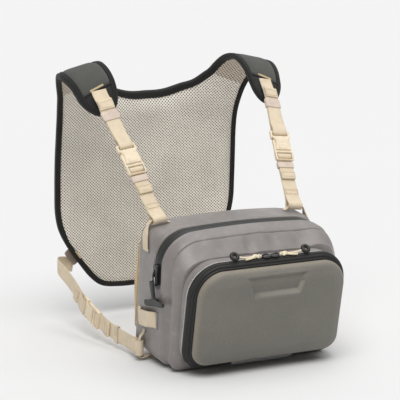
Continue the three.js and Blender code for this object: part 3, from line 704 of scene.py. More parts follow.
@dataclass(frozen=True)
class ZipTape(Finish):
    """Coated zip: smooth lips, with fine teeth along the middle."""

    tooth: float = 1.6
    coil_half: float = 1.2
    roughness: float = 0.45
    grain: float = 0.0012
    cloud: float = 0.03
    tones: Tones = (0.7, 1.3)
    depth: float = 0.25

    def paint(self, sheet: NodeSheet) -> None:
        """Teeth as a sine along the zip, shown only near its middle line.

        Args:
            sheet: Node sheet of the material.
        """
        along, across = sheet.along_across()
        middle = across.size().eased(self.coil_half + 0.5, self.coil_half - 0.3)
        teeth = (along * (FULL_TURN / self.tooth)).sine() * 0.5 + 0.5
        grain = sheet.noise(self.grain, 2.0)
        cloud = sheet.noise(self.cloud, 2.0)
        tone = cloud * 0.5 + grain * 0.3 + teeth * middle * 0.3
        colour = self.tint(sheet, tone.eased(0.25, 0.8), self.tones)
        relief = teeth * middle * 0.7 + grain * 0.3
        sheet.dress(colour, cloud * 0.2 + (self.roughness - 0.1), relief, self.depth)
        sheet.fix(Specular_IOR_Level=0.5)


@dataclass(frozen=True)
class Moulded(Finish):
    """Moulded plastic or rubber: a fine spark-eroded grain and slight clouds of gloss."""

    roughness: float = 0.35
    coat: float = 0.1
    grain: float = 0.0008
    cloud: float = 0.012
    tones: Tones = (0.9, 1.06)
    depth: float = 0.05

    def paint(self, sheet: NodeSheet) -> None:
        """Grain and clouds in tone, gloss and relief.

        Args:
            sheet: Node sheet of the material.
        """
        grain = sheet.noise(self.grain, 2.0)
        cloud = sheet.noise(self.cloud, 2.0)
        tone = cloud * 0.7 + grain * 0.3
        colour = self.tint(sheet, tone.eased(0.3, 0.7), self.tones)
        sheet.dress(colour, cloud * 0.16 + grain * 0.08 + (self.roughness - 0.12), grain, self.depth)
        sheet.fix(Coat_Weight=self.coat, Coat_Roughness=0.2, Specular_IOR_Level=0.5)


@dataclass(frozen=True)
class Steel(Finish):
    """Brushed steel wire."""

    cloud: float = 0.002
    tones: Tones = (0.85, 1.05)
    depth: float = 0.03

    def paint(self, sheet: NodeSheet) -> None:
        """Gloss broken by small clouds and finger marks.

        Args:
            sheet: Node sheet of the material.
        """
        cloud = sheet.noise(self.cloud, 3.0)
        colour = self.tint(sheet, cloud.eased(0.3, 0.7), self.tones)
        sheet.dress(colour, cloud * 0.25 + 0.15, cloud, self.depth)
        sheet.fix(Metallic=1.0)


@dataclass(frozen=True)
class Braid(Finish):
    """Braided cord or twisted thread: strands crossing on a slant."""

    strand: float = 1.3
    cloud: float = 0.004
    tones: Tones = (0.78, 1.05)
    depth: float = 0.15

    def paint(self, sheet: NodeSheet) -> None:
        """Two slanted sines, the higher of the two showing.

        Args:
            sheet: Node sheet of the material.
        """
        along, across = sheet.along_across()
        turn = FULL_TURN / self.strand
        first = ((along + across) * turn).sine()
        second = ((along - across) * turn).sine()
        relief = first.most(second) * 0.5 + 0.5
        cloud = sheet.noise(self.cloud, 2.0)
        tone = relief * 0.6 + cloud * 0.4
        colour = self.tint(sheet, tone.eased(0.3, 0.85), self.tones)
        sheet.dress(colour, 0.8, relief, self.depth)
        sheet.fix(Sheen_Weight=0.2, Specular_IOR_Level=0.25)


@dataclass(frozen=True)
class StudioPaper(Finish):
    """Matt pale studio floor."""

    cloud: float = 0.4
    tones: Tones = (0.995, 1.005)

    def paint(self, sheet: NodeSheet) -> None:
        """Nearly even tone with very slight clouds.

        Args:
            sheet: Node sheet of the material.
        """
        colour = self.tint(sheet, sheet.noise(self.cloud, 2.0), self.tones)
        sheet.dress(colour, 0.95)
        sheet.fix(Specular_IOR_Level=0.05)


SAND = (233, 216, 188)
# The second colour of each spacer mesh is the painted shade in its holes.
CREAM_MESH = SpacerMesh(
    "cream_spacer_mesh", Slot.SPACER_MESH, (255, 249, 238), (66, 56, 47), 4.1, 4.4, 0.3,
)
PAD_MESH = SpacerMesh(
    "pad_spacer_mesh", Slot.SPACER_MESH, (223, 212, 196), (93, 83, 73), 4.4, 4.6, 0.33,
)
GOLD_MESH = SpacerMesh("gold_spacer_mesh", Slot.TAN_MESH, (240, 217, 176), (150, 124, 88), 2.8, 3.0)
GOLD_WELT = Twill("gold_welt", Slot.TAN_MESH, (222, 198, 154), 1.2)
CHARCOAL_TWILL = Twill("charcoal_twill", Slot.DARK_CLOTH, (83, 83, 79))
TIP_TWILL = Twill("tip_patch_twill", Slot.TIP_CLOTH, (29, 29, 28), 1.0, 0.6)
TAB_TWILL = Twill("tab_twill", Slot.TAB_CLOTH, (168, 152, 139), 1.4)
BLACK_TAPE = Woven("black_edge_tape", Slot.EDGE_TAPE, (27, 26, 25), 1.0, 1.6, 30.0, 0.3)
SAND_WEBBING = Woven("sand_webbing", Slot.WEBBING, SAND)
WIDE_WEBBING = Woven("wide_sand_webbing", Slot.WEBBING, SAND, half_width=10.25)
NARROW_WEBBING = Woven("narrow_sand_webbing", Slot.WEBBING, SAND, 1.0, 1.6, 6.7)
PALE_ELASTIC = Woven("pale_elastic", Slot.ELASTIC, (231, 213, 197), 0.9, 1.3, 30.0, 0.12)
SAND_PLASTIC = Moulded("sand_plastic", Slot.BUCKLE_PLASTIC, (238, 221, 192), 0.36)
TAUPE_COATED = CoatedCloth("taupe_coated_cloth", Slot.COATED_CLOTH, (143, 137, 134))
GREY_WELD = CoatedCloth("grey_weld_tape", Slot.COATED_CLOTH, (150, 145, 143))
HINGE_GREY = CoatedCloth("grey_hinge_cloth", Slot.COATED_CLOTH, (119, 117, 119))
# The shell's second colour is its rim's painted highlight.
SHELL_GREY = MouldedCloth("grey_moulded_cloth", Slot.SHELL_CLOTH, (121, 118, 110), (158, 147, 130))
ZIP_DARK = ZipTape("dark_zip", Slot.ZIP_RUBBER, (52, 53, 52))
POCKET_ZIP_BLACK = ZipTape("black_pocket_zip", Slot.ZIP_RUBBER, (34, 33, 32), 1.5, 1.4, 0.6)
BLACK_METAL = Moulded("black_slider_paint", Slot.ZIP_RUBBER, (34, 34, 34), 0.32, 0.3)
PULL_GREY = Moulded("dark_pull_rubber", Slot.PULL_RUBBER, (47, 47, 49), 0.5, 0.0, 0.0012)
RING_BLACK = Moulded("black_ring_rubber", Slot.PULL_RUBBER, (30, 29, 28), 0.45, 0.0, 0.0012)
SILVER = Steel("silver_link", Slot.LINK_STEEL, (200, 200, 202))
CREAM_CORD = Braid("cream_cord", Slot.WEBBING, (250, 236, 206))
SAND_THREAD = Braid("sand_thread", Slot.WEBBING, (214, 194, 156), 0.8)
DARK_THREAD = Braid("dark_thread", Slot.EDGE_TAPE, (54, 52, 50), 0.8)
PALE_THREAD = Braid("pale_thread", Slot.COATED_CLOTH, (232, 228, 222), 0.8)
FLOOR_PAPER = StudioPaper("studio_floor", None, (229, 229, 229))


def make_trim(
    name: str, surfaces: Sequence[Surface], finish: Finish, crease: float = 40.0,
) -> bpy.types.Object:
    """Turn surfaces into one piece that rides on the pack.

    Args:
        name: Name of the piece.
        surfaces: Its surfaces, in millimetres.
        finish: What it is made of.
        crease: Edges sharper than this many degrees stay sharp.

    Returns:
        The new object.
    """
    points, faces, places, start = [], [], [], 0
    for surface in surfaces:
        flat = surface.points.reshape(-1, 3)
        found, coords = surface.faces()
        faces += [[corner + start for corner in face] for face in found]
        points.append(flat * MM)
        places.append(coords)
        start += len(flat)
    mesh = bpy.data.meshes.new(name)
    mesh.from_pydata(np.vstack(points).tolist(), [], faces)
    pattern = mesh.uv_layers.new(name=PATTERN)
    pattern.uv.foreach_set("vector", np.vstack(places).astype(np.float32).ravel())
    work = bmesh.new()
    work.from_mesh(mesh)
    bmesh.ops.remove_doubles(work, verts=work.verts, dist=1e-6)
    bmesh.ops.recalc_face_normals(work, faces=work.faces)
    work.to_mesh(mesh)
    work.free()
    mesh.shade_smooth()
    mesh.set_sharp_from_angle(angle=math.radians(crease))
    mesh.materials.append(finish.material())
    piece = bpy.data.objects.new(name, mesh)
    bpy.context.collection.objects.link(piece)
    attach(piece, "root")
    return piece


def make_piece(
    node: str, ending: str, surfaces: Sequence[Surface], finish: Finish, crease: float = 40.0,
) -> bpy.types.Object:
    """Turn surfaces into one piece that stands for a solid of the part and is named after it.

    Args:
        node: Name of the solid.
        ending: What the piece's name adds to it.
        surfaces: The piece's surfaces, in millimetres.
        finish: What it is made of.
        crease: Edges sharper than this many degrees stay sharp.

    Returns:
        The new object.
    """
    piece = make_trim(f"{node}_{ending}", surfaces, finish, crease)
    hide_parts(node)
    return piece


def ribbon(centre: Array, across: Array, normal: Array, width: Numbers, thick: float) -> Surface:
    """Flat webbing: a stadium section, two flats joined by half circles, carried along a line.

    Args:
        centre: Points of the middle line.
        across: Direction over the width, one or one for each point.
        normal: Directions over the thickness.
        width: Full width, one number or one for each point.
        thick: Full thickness.

    Returns:
        A closed, capped surface.
    """
    turn = np.radians(np.linspace(-90, 90, 6))
    flat = np.linspace(1, -1, 6)[1:-1]
    reach = (np.reshape(width, (-1, 1)) - thick) / 2
    b = np.hstack([reach + thick / 2 * np.cos(turn), reach * flat])
    n = np.concatenate([thick / 2 * np.sin(turn), np.full(len(flat), thick / 2)])
    b, n = np.hstack([b, -b]), np.concatenate([n, -n])
    across = np.broadcast_to(across, centre.shape)
    points = centre[:, None] + across[:, None] * b[..., None] + normal[:, None] * n[:, None]
    coords = grid_coords(lengths(centre), np.append(b[0], b[0, 0]))
    return Surface(points, coords, closed_cols=True, capped=True)


def tube(line: Array, normal: Array, radius: float, sides: int = 8, closed: bool = False) -> Surface:
    """Round strand: a circle carried along a line, its start turned towards a normal.

    Args:
        line: Points of the middle line.
        normal: A direction off the line, one or one for each point.
        radius: Radius of the strand.
        sides: Corners of the circle.
        closed: Whether the line's end joins its start.

    Returns:
        A closed surface.
    """
    way = np.roll(line, -1, axis=0) - np.roll(line, 1, axis=0) if closed else np.gradient(line, axis=0)
    side = unit(np.cross(unit(way), normal))
    up = np.cross(side, unit(way))
    turn = circle(sides)[:, None]
    points = line[:, None] + radius * (side[:, None] * np.cos(turn) + up[:, None] * np.sin(turn))
    marks = lengths(shut(line) if closed else line)
    coords = grid_coords(marks, np.linspace(0, FULL_TURN * radius, sides + 1))
    return Surface(points, coords, closed, True, not closed)


def thread(
    line: Array, normal: Array, pitch: float = 3.6, radius: float = 0.34, closed: bool = False,
) -> Surface:
    """Row of stitches: one strand that rises out of the cloth and dips back into it once in each step.

    Its height is a cosine, drawn steeper and held at both ends, so that it lies flat on the cloth and dives.

    Args:
        line: Line on the cloth.
        normal: The cloth's outward direction, one or one for each point.
        pitch: Length of one step.
        radius: Radius of the strand.
        closed: Whether the row is a loop.

    Returns:
        The strand.
    """
    in_step, steep, lean, rise, sink = 6, 1.6, 0.5, 0.55, 0.2
    normal = np.broadcast_to(normal, line.shape)
    ring = shut(line) if closed else line
    way = lengths(ring)
    count = max(8, int(round(way[-1] / pitch)) * in_step)
    marks = np.linspace(0, way[-1], count, endpoint=not closed)
    normals = unit(rows_at(marks, way, shut(normal) if closed else normal))
    wave = np.cos(FULL_TURN * np.arange(count) / in_step) * steep + lean
    height = np.clip(wave, -1.0, 1.0) * rise - sink
    return tube(rows_at(marks, way, ring) + normals * height[:, None], normals, radius, 5, closed)


def outline_normals(outline: Array) -> Array:
    """Outward directions of a closed flat outline, whichever way round it runs.

    Args:
        outline: Points of the outline, two numbers a row.

    Returns:
        One direction for each point: its way along, turned a quarter, with the sign of the outline's area.
    """
    way = np.roll(outline, -1, axis=0) - np.roll(outline, 1, axis=0)
    x, y = outline[:, 0], outline[:, 1]
    turn = np.sign(np.sum(x * np.roll(y, -1) - y * np.roll(x, -1)))
    return unit(np.stack([way[:, 1], -way[:, 0]], axis=1)) * turn


def plate(outline: Array, low: float, high: float, soft: float = 0.6, dome: float = 0.0) -> Surface:
    """Flat moulding: an outline with quarter-round edges and, if wanted, a domed top.

    Rows run from the low face round the edge to the high face; each row is the outline set in by soft times
    one minus the cosine of the edge's angle.

    Args:
        outline: Closed outline, two numbers a row.
        low: Height of the low face.
        high: Height of the high face.
        soft: Radius of the edges.
        dome: Rise of the high face's middle.

    Returns:
        A closed surface in outline and height coordinates.
    """
    turn = np.radians(np.linspace(0, 90, 5))
    inset = np.concatenate([(soft * (1 - np.cos(turn)))[::-1], soft * (1 - np.cos(turn))])
    height = np.concatenate([(low + soft - soft * np.sin(turn))[::-1], high - soft + soft * np.sin(turn)])
    rings = outline[None] - inset[:, None, None] * outline_normals(outline)[None]
    middle = outline.mean(axis=0)
    share = np.array([0.8, 0.55, 0.25, 0.05])
    inner = middle + (rings[-1] - middle)[None] * share[:, None, None]
    rings = np.concatenate([middle + (rings[:1] - middle) * share[-1], rings, inner])
    height = np.concatenate([[low], height, high + dome * (1 - share**2)])
    points = np.dstack([rings, np.broadcast_to(height[:, None], rings.shape[:2])])
    coords = grid_coords(np.arange(len(height), dtype=float), lengths(shut(outline)))
    return Surface(points, coords, False, True, True)


def frame_plate(outer: Array, inner: Array, half: float) -> Surface:
    """Flat moulded frame: a rounded section carried round between an outer and an inner outline.

    The section is a circle with its cosine and sine squared off, stretched to the frame's width and height.

    Args:
        outer: Outer outline, two numbers a row.
        inner: Inner outline, with a point for each outer one.
        half: Half of the frame's height.

    Returns:
        A closed surface in outline and height coordinates.
    """
    turn, power = circle(16), 0.55
    c = squared_off(np.cos(turn), power)
    h = squared_off(np.sin(turn), power) * half
    middle, reach = (outer + inner) / 2, (outer - inner) / 2
    flat = middle[:, None] + reach[:, None] * c[:, None]
    points = np.dstack([flat, np.broadcast_to(h, flat.shape[:2])])
    coords = grid_coords(lengths(shut(outer)), np.linspace(0, 4 * half, len(turn) + 1))
    return Surface(points, coords, True, True)


def round_box(low: Sequence[float], high: Sequence[float], radius: float, arc: int = 6) -> Array:
    """Rectangle with round corners, anticlockwise from the middle of its right side.

    Args:
        low: Lowest corner.
        high: Highest corner.
        radius: Radius of the corners.
        arc: Steps in each corner.

    Returns:
        Points of the outline.
    """
    turn = np.radians(np.linspace(0, 360, 4 * arc, endpoint=False) + 45.0 / arc)
    way = np.stack([np.cos(turn), np.sin(turn)], axis=1)
    low, high = np.asarray(low, float), np.asarray(high, float)
    return (high + low) / 2 + np.sign(way) * ((high - low) / 2 - radius) + radius * way


@dataclass
class HarnessSheet:
    """The curved sheet that panel, neck and pads lie on: a side profile swept across the shoulders."""

    profile: Rows = (
        (60, -325), (61, -250), (61, -190), (59.5, -150), (57, -110), (53, -80), (47, -58), (40, -38),
        (32, -20), (19, -5), (0, 0), (-16, -4), (-29, -12), (-38, -22), (-50, -39), (-60, -54), (-66, -62),
    )
    crest: int = 10
    shoulder_x: float = 128.0
    shoulder_slope: float = 0.23
    slope_run: tuple[float, float] = (-95.0, -30.0)
    hollow: float = 8.0
    hollow_half: float = 132.0
    hollow_run: tuple[float, float] = (-70.0, -15.0)
    samples: int = 120
    line: Array = field(init=False)
    marks: Array = field(init=False)
    ways: Array = field(init=False)

    def __post_init__(self) -> None:
        """Sample the profile and measure it from the shoulder's crest."""
        self.line = curve_through(self.profile, self.samples)
        way = lengths(self.line)
        self.marks = way - way[self.crest * self.samples]
        self.ways = unit(np.gradient(self.line, axis=0))

    def point(self, x: Numbers, s: Numbers, t: Numbers) -> Array:
        """Point of the sheet: the profile at s, raised by the shoulder's slope, the panel's hollow and t.

        Args:
            x: Way across, to the right.
            s: Way along the profile, from the crest to the front.
            t: Height off the side that lies on the wearer.

        Returns:
            Points in millimetres.
        """
        x, s, t = np.broadcast_arrays(*(np.asarray(v, float) for v in (x, s, t)))
        y, z = np.moveaxis(rows_at(s, self.marks, self.line), -1, 0)
        way = rows_at(s, self.marks, self.ways)
        rise = smooth_step(*self.slope_run, s) * self.shoulder_slope * (self.shoulder_x - np.abs(x)) + t
        bowed = 1 - (x / self.hollow_half) ** 2
        rise = rise + (1 - smooth_step(*self.hollow_run, s)) * self.hollow * bowed
        return np.stack([x, y + way[..., 1] * rise, z - way[..., 0] * rise], axis=-1)

    def normal(self, x: Array, s: Array) -> Array:
        """Direction off the wearer at a point of the sheet."""
        return unit(self.point(x, s, 1.0) - self.point(x, s, 0.0))


SHEET = HarnessSheet()
LOW_CORNER = (128.5, -244.0)
OUTER_CORNER = (139.5, -57.0)
TIP_OUTER = (146.0, 56.0)
TIP_INNER = (99.8, 52.0)
NECK_CORNER = (88.0, -41.0)
EDGE_BOTTOM = ((0, -330), (40, -329.5), (66, -325), (81, -313.5), (97, -294), (114.5, -270), LOW_CORNER)
EDGE_SIDE = (
    LOW_CORNER, (133.5, -222), (134.5, -190), (134.5, -150), (134, -120), (134.5, -95), (137, -72),
    OUTER_CORNER,
)
EDGE_OUTER = (OUTER_CORNER, (148, -30), (153.5, -10), (155.5, 6), (153, 25), (149.5, 42), TIP_OUTER)
EDGE_TIP = (TIP_OUTER, (138, 69), (128, 77), (119, 79), (110, 75), (103, 65), TIP_INNER)
EDGE_INNER = (TIP_INNER, (98.8, 38), (98.8, 20), (98.8, 0), (96.5, -18), (91, -34), NECK_CORNER)
EDGE_NECK = (NECK_CORNER, (82, -46), (68, -56), (50, -62), (26, -68.5), (0, -70))


def edge_at(edge: Rows, s: Array) -> Array:
    """Place x of an edge at a way s along the sheet."""
    return Table([(along, across) for across, along in edge]).at(s)


def pad_crease(share: Array) -> Array:
    """Line s where the panel ends and a pad starts, from the neck's corner out to the edge."""
    return NECK_CORNER[1] + (OUTER_CORNER[1] - NECK_CORNER[1]) * share


@dataclass
class PaddedLayers:
    """What panel and pads share: mesh towards the wearer, dark cloth over it, both pinched by the binding."""

    mesh_low: float = 0.2
    mesh_high: float = 4.0
    cover_low: float = 4.3
    cover_high: float = 7.3
    pinch: float = 1.5
    pressed: float = 1.5
    fill: float = 0.7

    def held(self, inside: Array, run: float) -> Array:
        """How far the binding presses a face down at a way in from the edge, easing off over a run."""
        return self.pinch * (1 - smooth_step(self.pressed, run, inside))


@dataclass
class BackPanel(PaddedLayers):
    """Back panel: spacer mesh on the wearer's side and dark cloth behind it."""

    swell: float = 1.1
    ripple: float = 0.25
    half_width: float = 110.0
    height: float = 250.0
    eased_over: float = 13.0
    columns: int = 97
    rows: int = 97

    def layer(self, heights: tuple[float, float], swells: tuple[int, int]) -> list[Surface]:
        """One layer: columns between the side edges, rows from the low edge to the neck and pads.

        The free face swells inside the binding, with slow ripples, and the binding pinches its edges.

        Args:
            heights: Heights of the wearer's face and the outer face.
            swells: Way in which each face swells: down, not at all or up.

        Returns:
            The layer's surface.
        """
        c = np.linspace(-1, 1, self.columns)[None, :]
        r = np.linspace(0, 1, self.rows)[:, None]
        away = 1 - np.abs(c)
        bottom = Table(EDGE_BOTTOM).at(np.abs(c) * LOW_CORNER[0])
        reach = np.abs(c) * OUTER_CORNER[0]
        on_pad = reach > NECK_CORNER[0]
        crease = pad_crease((reach - NECK_CORNER[0]) / (OUTER_CORNER[0] - NECK_CORNER[0]))
        top = np.where(on_pad, crease, Table(EDGE_NECK).at(reach))
        x = c * edge_at(EDGE_SIDE, LOW_CORNER[1] + (OUTER_CORNER[1] - LOW_CORNER[1]) * r)
        s = bottom + (top - bottom) * r
        puff = smooth_step(0.02, 0.16, away) * smooth_step(0.0, 0.1, r) * smooth_step(0.0, 0.1, 1 - r)
        ripple = self.ripple * np.sin(x / 17.0 + s / 29.0) * np.sin(s / 21.0 - x / 37.0)
        from_top = np.where(on_pad, self.height, (1 - r) * self.height)
        inside = np.minimum(np.minimum(away * self.half_width, r * self.height), from_top)
        free = (self.swell + ripple) * puff - self.held(inside, self.eased_over)
        faces = [SHEET.point(x, s, height + way * free) for height, way in zip(heights, swells)]
        return slab(*faces, np.stack(np.broadcast_arrays(s, x), axis=-1))

    def build(self) -> Pieces:
        """Make both layers.

        Returns:
            The pieces.
        """
        mesh = self.layer((self.mesh_low, self.mesh_high), (-1, 0))
        cover = self.layer((self.cover_low, self.cover_high), (0, 1))
        pieces = [
            make_piece("panel_mesh", "cloth", mesh, CREAM_MESH),
            make_piece("panel_cover", "cloth", cover, CHARCOAL_TWILL),
        ]
        return [piece for piece in pieces]


@dataclass
class ShoulderPads(PaddedLayers):
    """Shoulder pads: spacer mesh, dark cover, a tip patch beyond the cross seam, and a bar tack above it."""

    seam_inner: float = 37.0
    seam_outer: float = 53.0
    crown: float = 1.5
    under_crown: float = 0.9
    tip_hollow: float = 0.3
    groove: float = 1.4
    width: float = 50.0
    length: float = 115.0
    tip_length: float = 25.0
    eased_over: float = 10.0
    columns: int = 41
    rows: int = 61
    tip_rows: int = 17

    def seam(self, c: Array) -> Array:
        """Place of the cross seam at a share of the width."""
        return self.seam_inner + (self.seam_outer - self.seam_inner) * c

    def across(self, c: Array, s: Array) -> Array:
        """Place x at shares of the pad's width and ways along it."""
        inner = edge_at(EDGE_INNER, s)
        return inner + (edge_at(EDGE_OUTER, s) - inner) * c

    def layer(self, ends: tuple[Array, Array], heights: tuple[Numbers, Numbers], rows: int) -> list[Surface]:
        """One layer between two lines across the pad.

        Args:
            ends: Places of its first and last row, for each column.
            heights: Low and high face, each one number or one for each point.
            rows: Number of rows.

        Returns:
            The layer's surface.
        """
        c = np.linspace(0, 1, self.columns)[None, :]
        r = np.linspace(0, 1, rows)[:, None]
        s = ends[0] + (ends[1] - ends[0]) * r
        inner = edge_at(EDGE_INNER, s[:, :1])
        x = inner + (edge_at(EDGE_OUTER, s[:, -1:]) - inner) * c
        faces = [SHEET.point(x, s, height) for height in heights]
        return slab(*faces, np.stack([s, x], axis=-1))

    def layers(self) -> tuple[list[Surface], list[Surface], list[Surface]]:
        """Layers of the right pad: crowned over width and length, held down by the binding and the seam.

        Returns:
            Surfaces of the mesh, the cover and the tip patch.
        """
        c = np.linspace(0, 1, self.columns)
        r, last = (np.linspace(0, 1, count)[:, None] for count in (self.rows, self.tip_rows))
        crease, seam = pad_crease(c) + GAP, self.seam(c)
        tip = Table(EDGE_TIP).at(TIP_INNER[0] + (TIP_OUTER[0] - TIP_INNER[0]) * c)
        across = smooth_step(0.0, 0.3, c) * smooth_step(0.0, 0.3, 1 - c)
        swell = across * smooth_step(0.0, 0.15, r) * smooth_step(0.0, 0.12, 1 - r)
        flank = np.minimum(c, 1 - c)[None, :] * self.width
        inside = np.minimum(flank, (1 - r) * self.length)
        low = self.mesh_low - self.under_crown * swell + self.held(inside, self.eased_over)
        mesh = self.layer((crease, tip), (low, self.mesh_high), self.rows)
        high = self.cover_high + self.crown * swell - self.held(flank, self.eased_over)
        high = high - self.groove * smooth_step(0.965, 1.0, r)
        cover = self.layer((crease, seam), (self.cover_low, high), self.rows)
        inside = np.minimum(flank, (1 - last) * self.tip_length)
        high = self.cover_high - self.tip_hollow * across * smooth_step(0.0, 0.4, last)
        high = high - self.held(inside, self.eased_over) - self.groove * smooth_step(0.1, 0.0, last)
        patch = self.layer((seam + GAP, tip), (self.cover_low, high), self.tip_rows)
        return mesh, cover, [*patch, self.piping()]

    def piping(self) -> Surface:
        """Rolled edge of the tip patch: a tube along the cross seam.

        Returns:
            The tube.
        """
        c = np.linspace(0.05, 0.95, 61)
        s = self.seam(c) + 0.8
        x = self.across(c, s)
        return tube(SHEET.point(x, s, self.cover_high - 0.2), SHEET.normal(x, s), 1.1)

    def bar(self) -> list[Surface]:
        """Bar tack above the seam: a thread that zigzags across a narrow strip.

        Returns:
            The thread and the strip under it.
        """
        count = 91
        c = np.linspace(0.3, 0.68, count)
        zigzag = np.abs((np.arange(count) / 4.0) % 2.0 - 1.0)
        s = self.seam(c) - 3.3 + 2.4 * zigzag
        x = self.across(c, s)
        normal = SHEET.normal(x, s)
        along = unit(SHEET.point(x, s + 1, 8.0) - SHEET.point(x, s, 8.0))
        strip = ribbon(SHEET.point(x, self.seam(c) - 2.1, 7.9), along, normal, 3.0, 0.9)
        return [tube(SHEET.point(x, s, 8.3), normal, 0.6, 6), strip]

    def build(self) -> Pieces:
        """Make the layers and the bar tack of both pads.

        Returns:
            The pieces.
        """
        mesh, cover, tip = self.layers()
        layers = (
            ("pad_mesh", mesh, PAD_MESH), ("pad_cover", cover, CHARCOAL_TWILL), ("pad_tip", tip, TIP_TWILL),
        )
        pieces = []
        for side in Side:
            for word, surfaces, finish in layers:
                piece = make_piece(side.named(word), "cloth", side.take(surfaces), finish)
                pieces.append(piece)
            pieces.append(make_piece(side.named("pad_bar"), "cloth", side.take(self.bar()), SAND_THREAD))
        return pieces


@dataclass
class EdgeBinding:
    """Folded tape round the whole edge, with a row of stitches on each side."""

    section: Rows = (
        (-5.6, 0.9), (-5.4, 0.2), (-3, -0.1), (0, 0.0), (1.1, 0.5), (1.6, 1.6), (1.7, 3.7), (1.6, 5.8),
        (1.1, 7.0), (0, 7.5), (-3, 7.6), (-5.4, 7.3), (-5.6, 6.6), (-4.6, 6.35), (0.1, 6.35), (0.6, 5.8),
        (0.6, 1.7), (0.1, 1.15), (-4.6, 1.15),
    )
    stitch_in: float = 4.2
    stitch_rows: Rows = ((7.6, 1.0), (-0.1, -1.0))
    step: float = 3.0

    def loop(self) -> tuple[Array, Array]:
        """Edge of the harness as a smooth loop in x and s: the right half's edges, then their mirror image.

        Returns:
            Points of the loop and the outward direction at each.
        """
        edges = (EDGE_BOTTOM, EDGE_SIDE[1:], EDGE_OUTER[1:], EDGE_TIP[1:], EDGE_INNER[1:], EDGE_NECK[1:])
        half = np.vstack([np.asarray(edge, float) for edge in edges])
        whole = np.vstack([half, half[-2:0:-1] * (-1.0, 1.0)])
        ring = evenly(shut(curve_through(whole, 10, closed=True)), self.step)[:-1]
        way = unit(np.roll(ring, -2, axis=0) - np.roll(ring, 2, axis=0))
        return ring, np.stack([way[:, 1], -way[:, 0]], axis=1)

    def build(self) -> Pieces:
        """Carry the U section round the loop and sew it on: rows of stitches give height and face.

        Returns:
            The tape and its stitches.
        """
        ring, out = self.loop()
        section = curve_through(self.section, 2, closed=True)
        flat = ring[:, None] + out[:, None] * section[None, :, :1]
        points = SHEET.point(flat[..., 0], flat[..., 1], section[:, 1])
        tape = Surface(points, grid_coords(lengths(shut(ring)), lengths(shut(section))), True, True)
        x, s = (ring - out * self.stitch_in).T
        normal = SHEET.normal(x, s)
        seams = [
            thread(SHEET.point(x, s, height), normal * face, closed=True) for height, face in self.stitch_rows
        ]
        return [
            make_piece("binding", "tape", [tape], BLACK_TAPE),
            make_trim("binding_stitches", seams, DARK_THREAD),
        ]


@dataclass(frozen=True)
class Keeper:
    """Sleeve round webbing: ends along the line, low and high face of what it holds, wall and finish."""

    ends: tuple[float, float]
    low: float
    high: float
    wall: float = 1.0
    finish: Finish = PALE_ELASTIC


@dataclass
class Spine:
    """Middle line that webbing, sleeves and buckles are placed along."""

    stations: Array
    acrosses: Array
    per_span: int = 40
    line: Array = field(init=False)
    marks: Array = field(init=False)
    ways: Array = field(init=False)
    sides: Array = field(init=False)

    def __post_init__(self) -> None:
        """Sample the curve through the stations and measure it."""
        self.line = curve_through(self.stations, self.per_span)
        self.marks = lengths(self.line)
        self.ways = unit(np.gradient(self.line, axis=0))
        share = np.arange(len(self.line)) / self.per_span
        self.sides = rows_at(share, np.arange(len(self.acrosses)), self.acrosses)

    @property
    def length(self) -> float:
        """Full length of the line."""
        return float(self.marks[-1])

    def frame_at(self, a: Numbers) -> tuple[Array, Array, Array, Array]:
        """Axes of the line at a distance; past an end the line runs on straight.

        Args:
            a: Distance along the line.

        Returns:
            The point, and the ways along, across and over it.
        """
        a = np.asarray(a, float)
        held = np.clip(a, 0.0, self.length)
        along = unit(rows_at(held, self.marks, self.ways))
        point = rows_at(held, self.marks, self.line) + along * (a - held)[..., None]
        rough = rows_at(held, self.marks, self.sides)
        across = unit(rough - along * np.sum(rough * along, axis=-1, keepdims=True))
        return point, along, across, np.cross(along, across)

    def put(self, a: Numbers, h: Numbers, b: Numbers) -> Array:
        """Point at a along the line, h over it and b across it."""
        point, _, across, over = self.frame_at(a)
        return point + over * np.asarray(h, float)[..., None] + across * np.asarray(b, float)[..., None]

    def web(self, path: Rows) -> Surface:
        """Webbing along a smooth path in the plane of the line's ways along and over.

        Args:
            path: Points a along the line and h over it.

        Returns:
            The webbing.
        """
        line = evenly(curve_through(path, 12), 0.9)
        way = unit(np.gradient(line, axis=0))
        point, along, across, over = self.frame_at(line[:, 0])
        normal = over * way[:, :1] - along * way[:, 1:]
        return ribbon(point + over * line[:, 1:], across, normal, WEB_WIDTH, WEB_THICK)

    def sleeve(self, keeper: Keeper) -> Surface:
        """Sleeve round webbing: a rounded wall section carried round a rounded rectangle.

        Args:
            keeper: Sizes of the sleeve.

        Returns:
            A closed surface.
        """
        start, end = keeper.ends
        wall = keeper.wall
        half = WEB_WIDTH / 2 + GAP + wall / 2
        ring = round_box((-half, keeper.low - wall / 2), (half, keeper.high + wall / 2), 0.9, 5)
        turn = circle(20)
        a = squared_off(np.cos(turn), 0.3) * (end - start) / 2 + (start + end) / 2
        n = squared_off(np.sin(turn), 0.7) * wall / 2
        flat = ring[None] + outline_normals(ring)[None] * n[:, None, None]
        points = self.put(np.broadcast_to(a[:, None], flat.shape[:2]), flat[..., 1], flat[..., 0])
        return Surface(points, grid_coords(np.append(a, a[0]), lengths(shut(ring))), True, True)

    def rigid(self, bar: float, length: float, rise: float) -> Callable[[Array], Array]:
        """Placing of a stiff fitting on the line.

        Args:
            bar: Where the fitting starts.
            length: How long it is.
            rise: Its height over the line.

        Returns:
            A function from the fitting's own along, across and over to points.
        """
        point, along, across, over = self.frame_at(bar + length / 2)
        start = point - along * length / 2 + over * rise
        return lambda p: start + p[..., :1] * along + p[..., 1:2] * across + p[..., 2:] * over


Box = tuple[float, float, float, float]


def box_outline(box: Box) -> Array:
    """Round box from its start and end along the buckle, its half width and its corners' radius."""
    start, end, half, radius = box
    return round_box((start, -half), (end, half), radius)


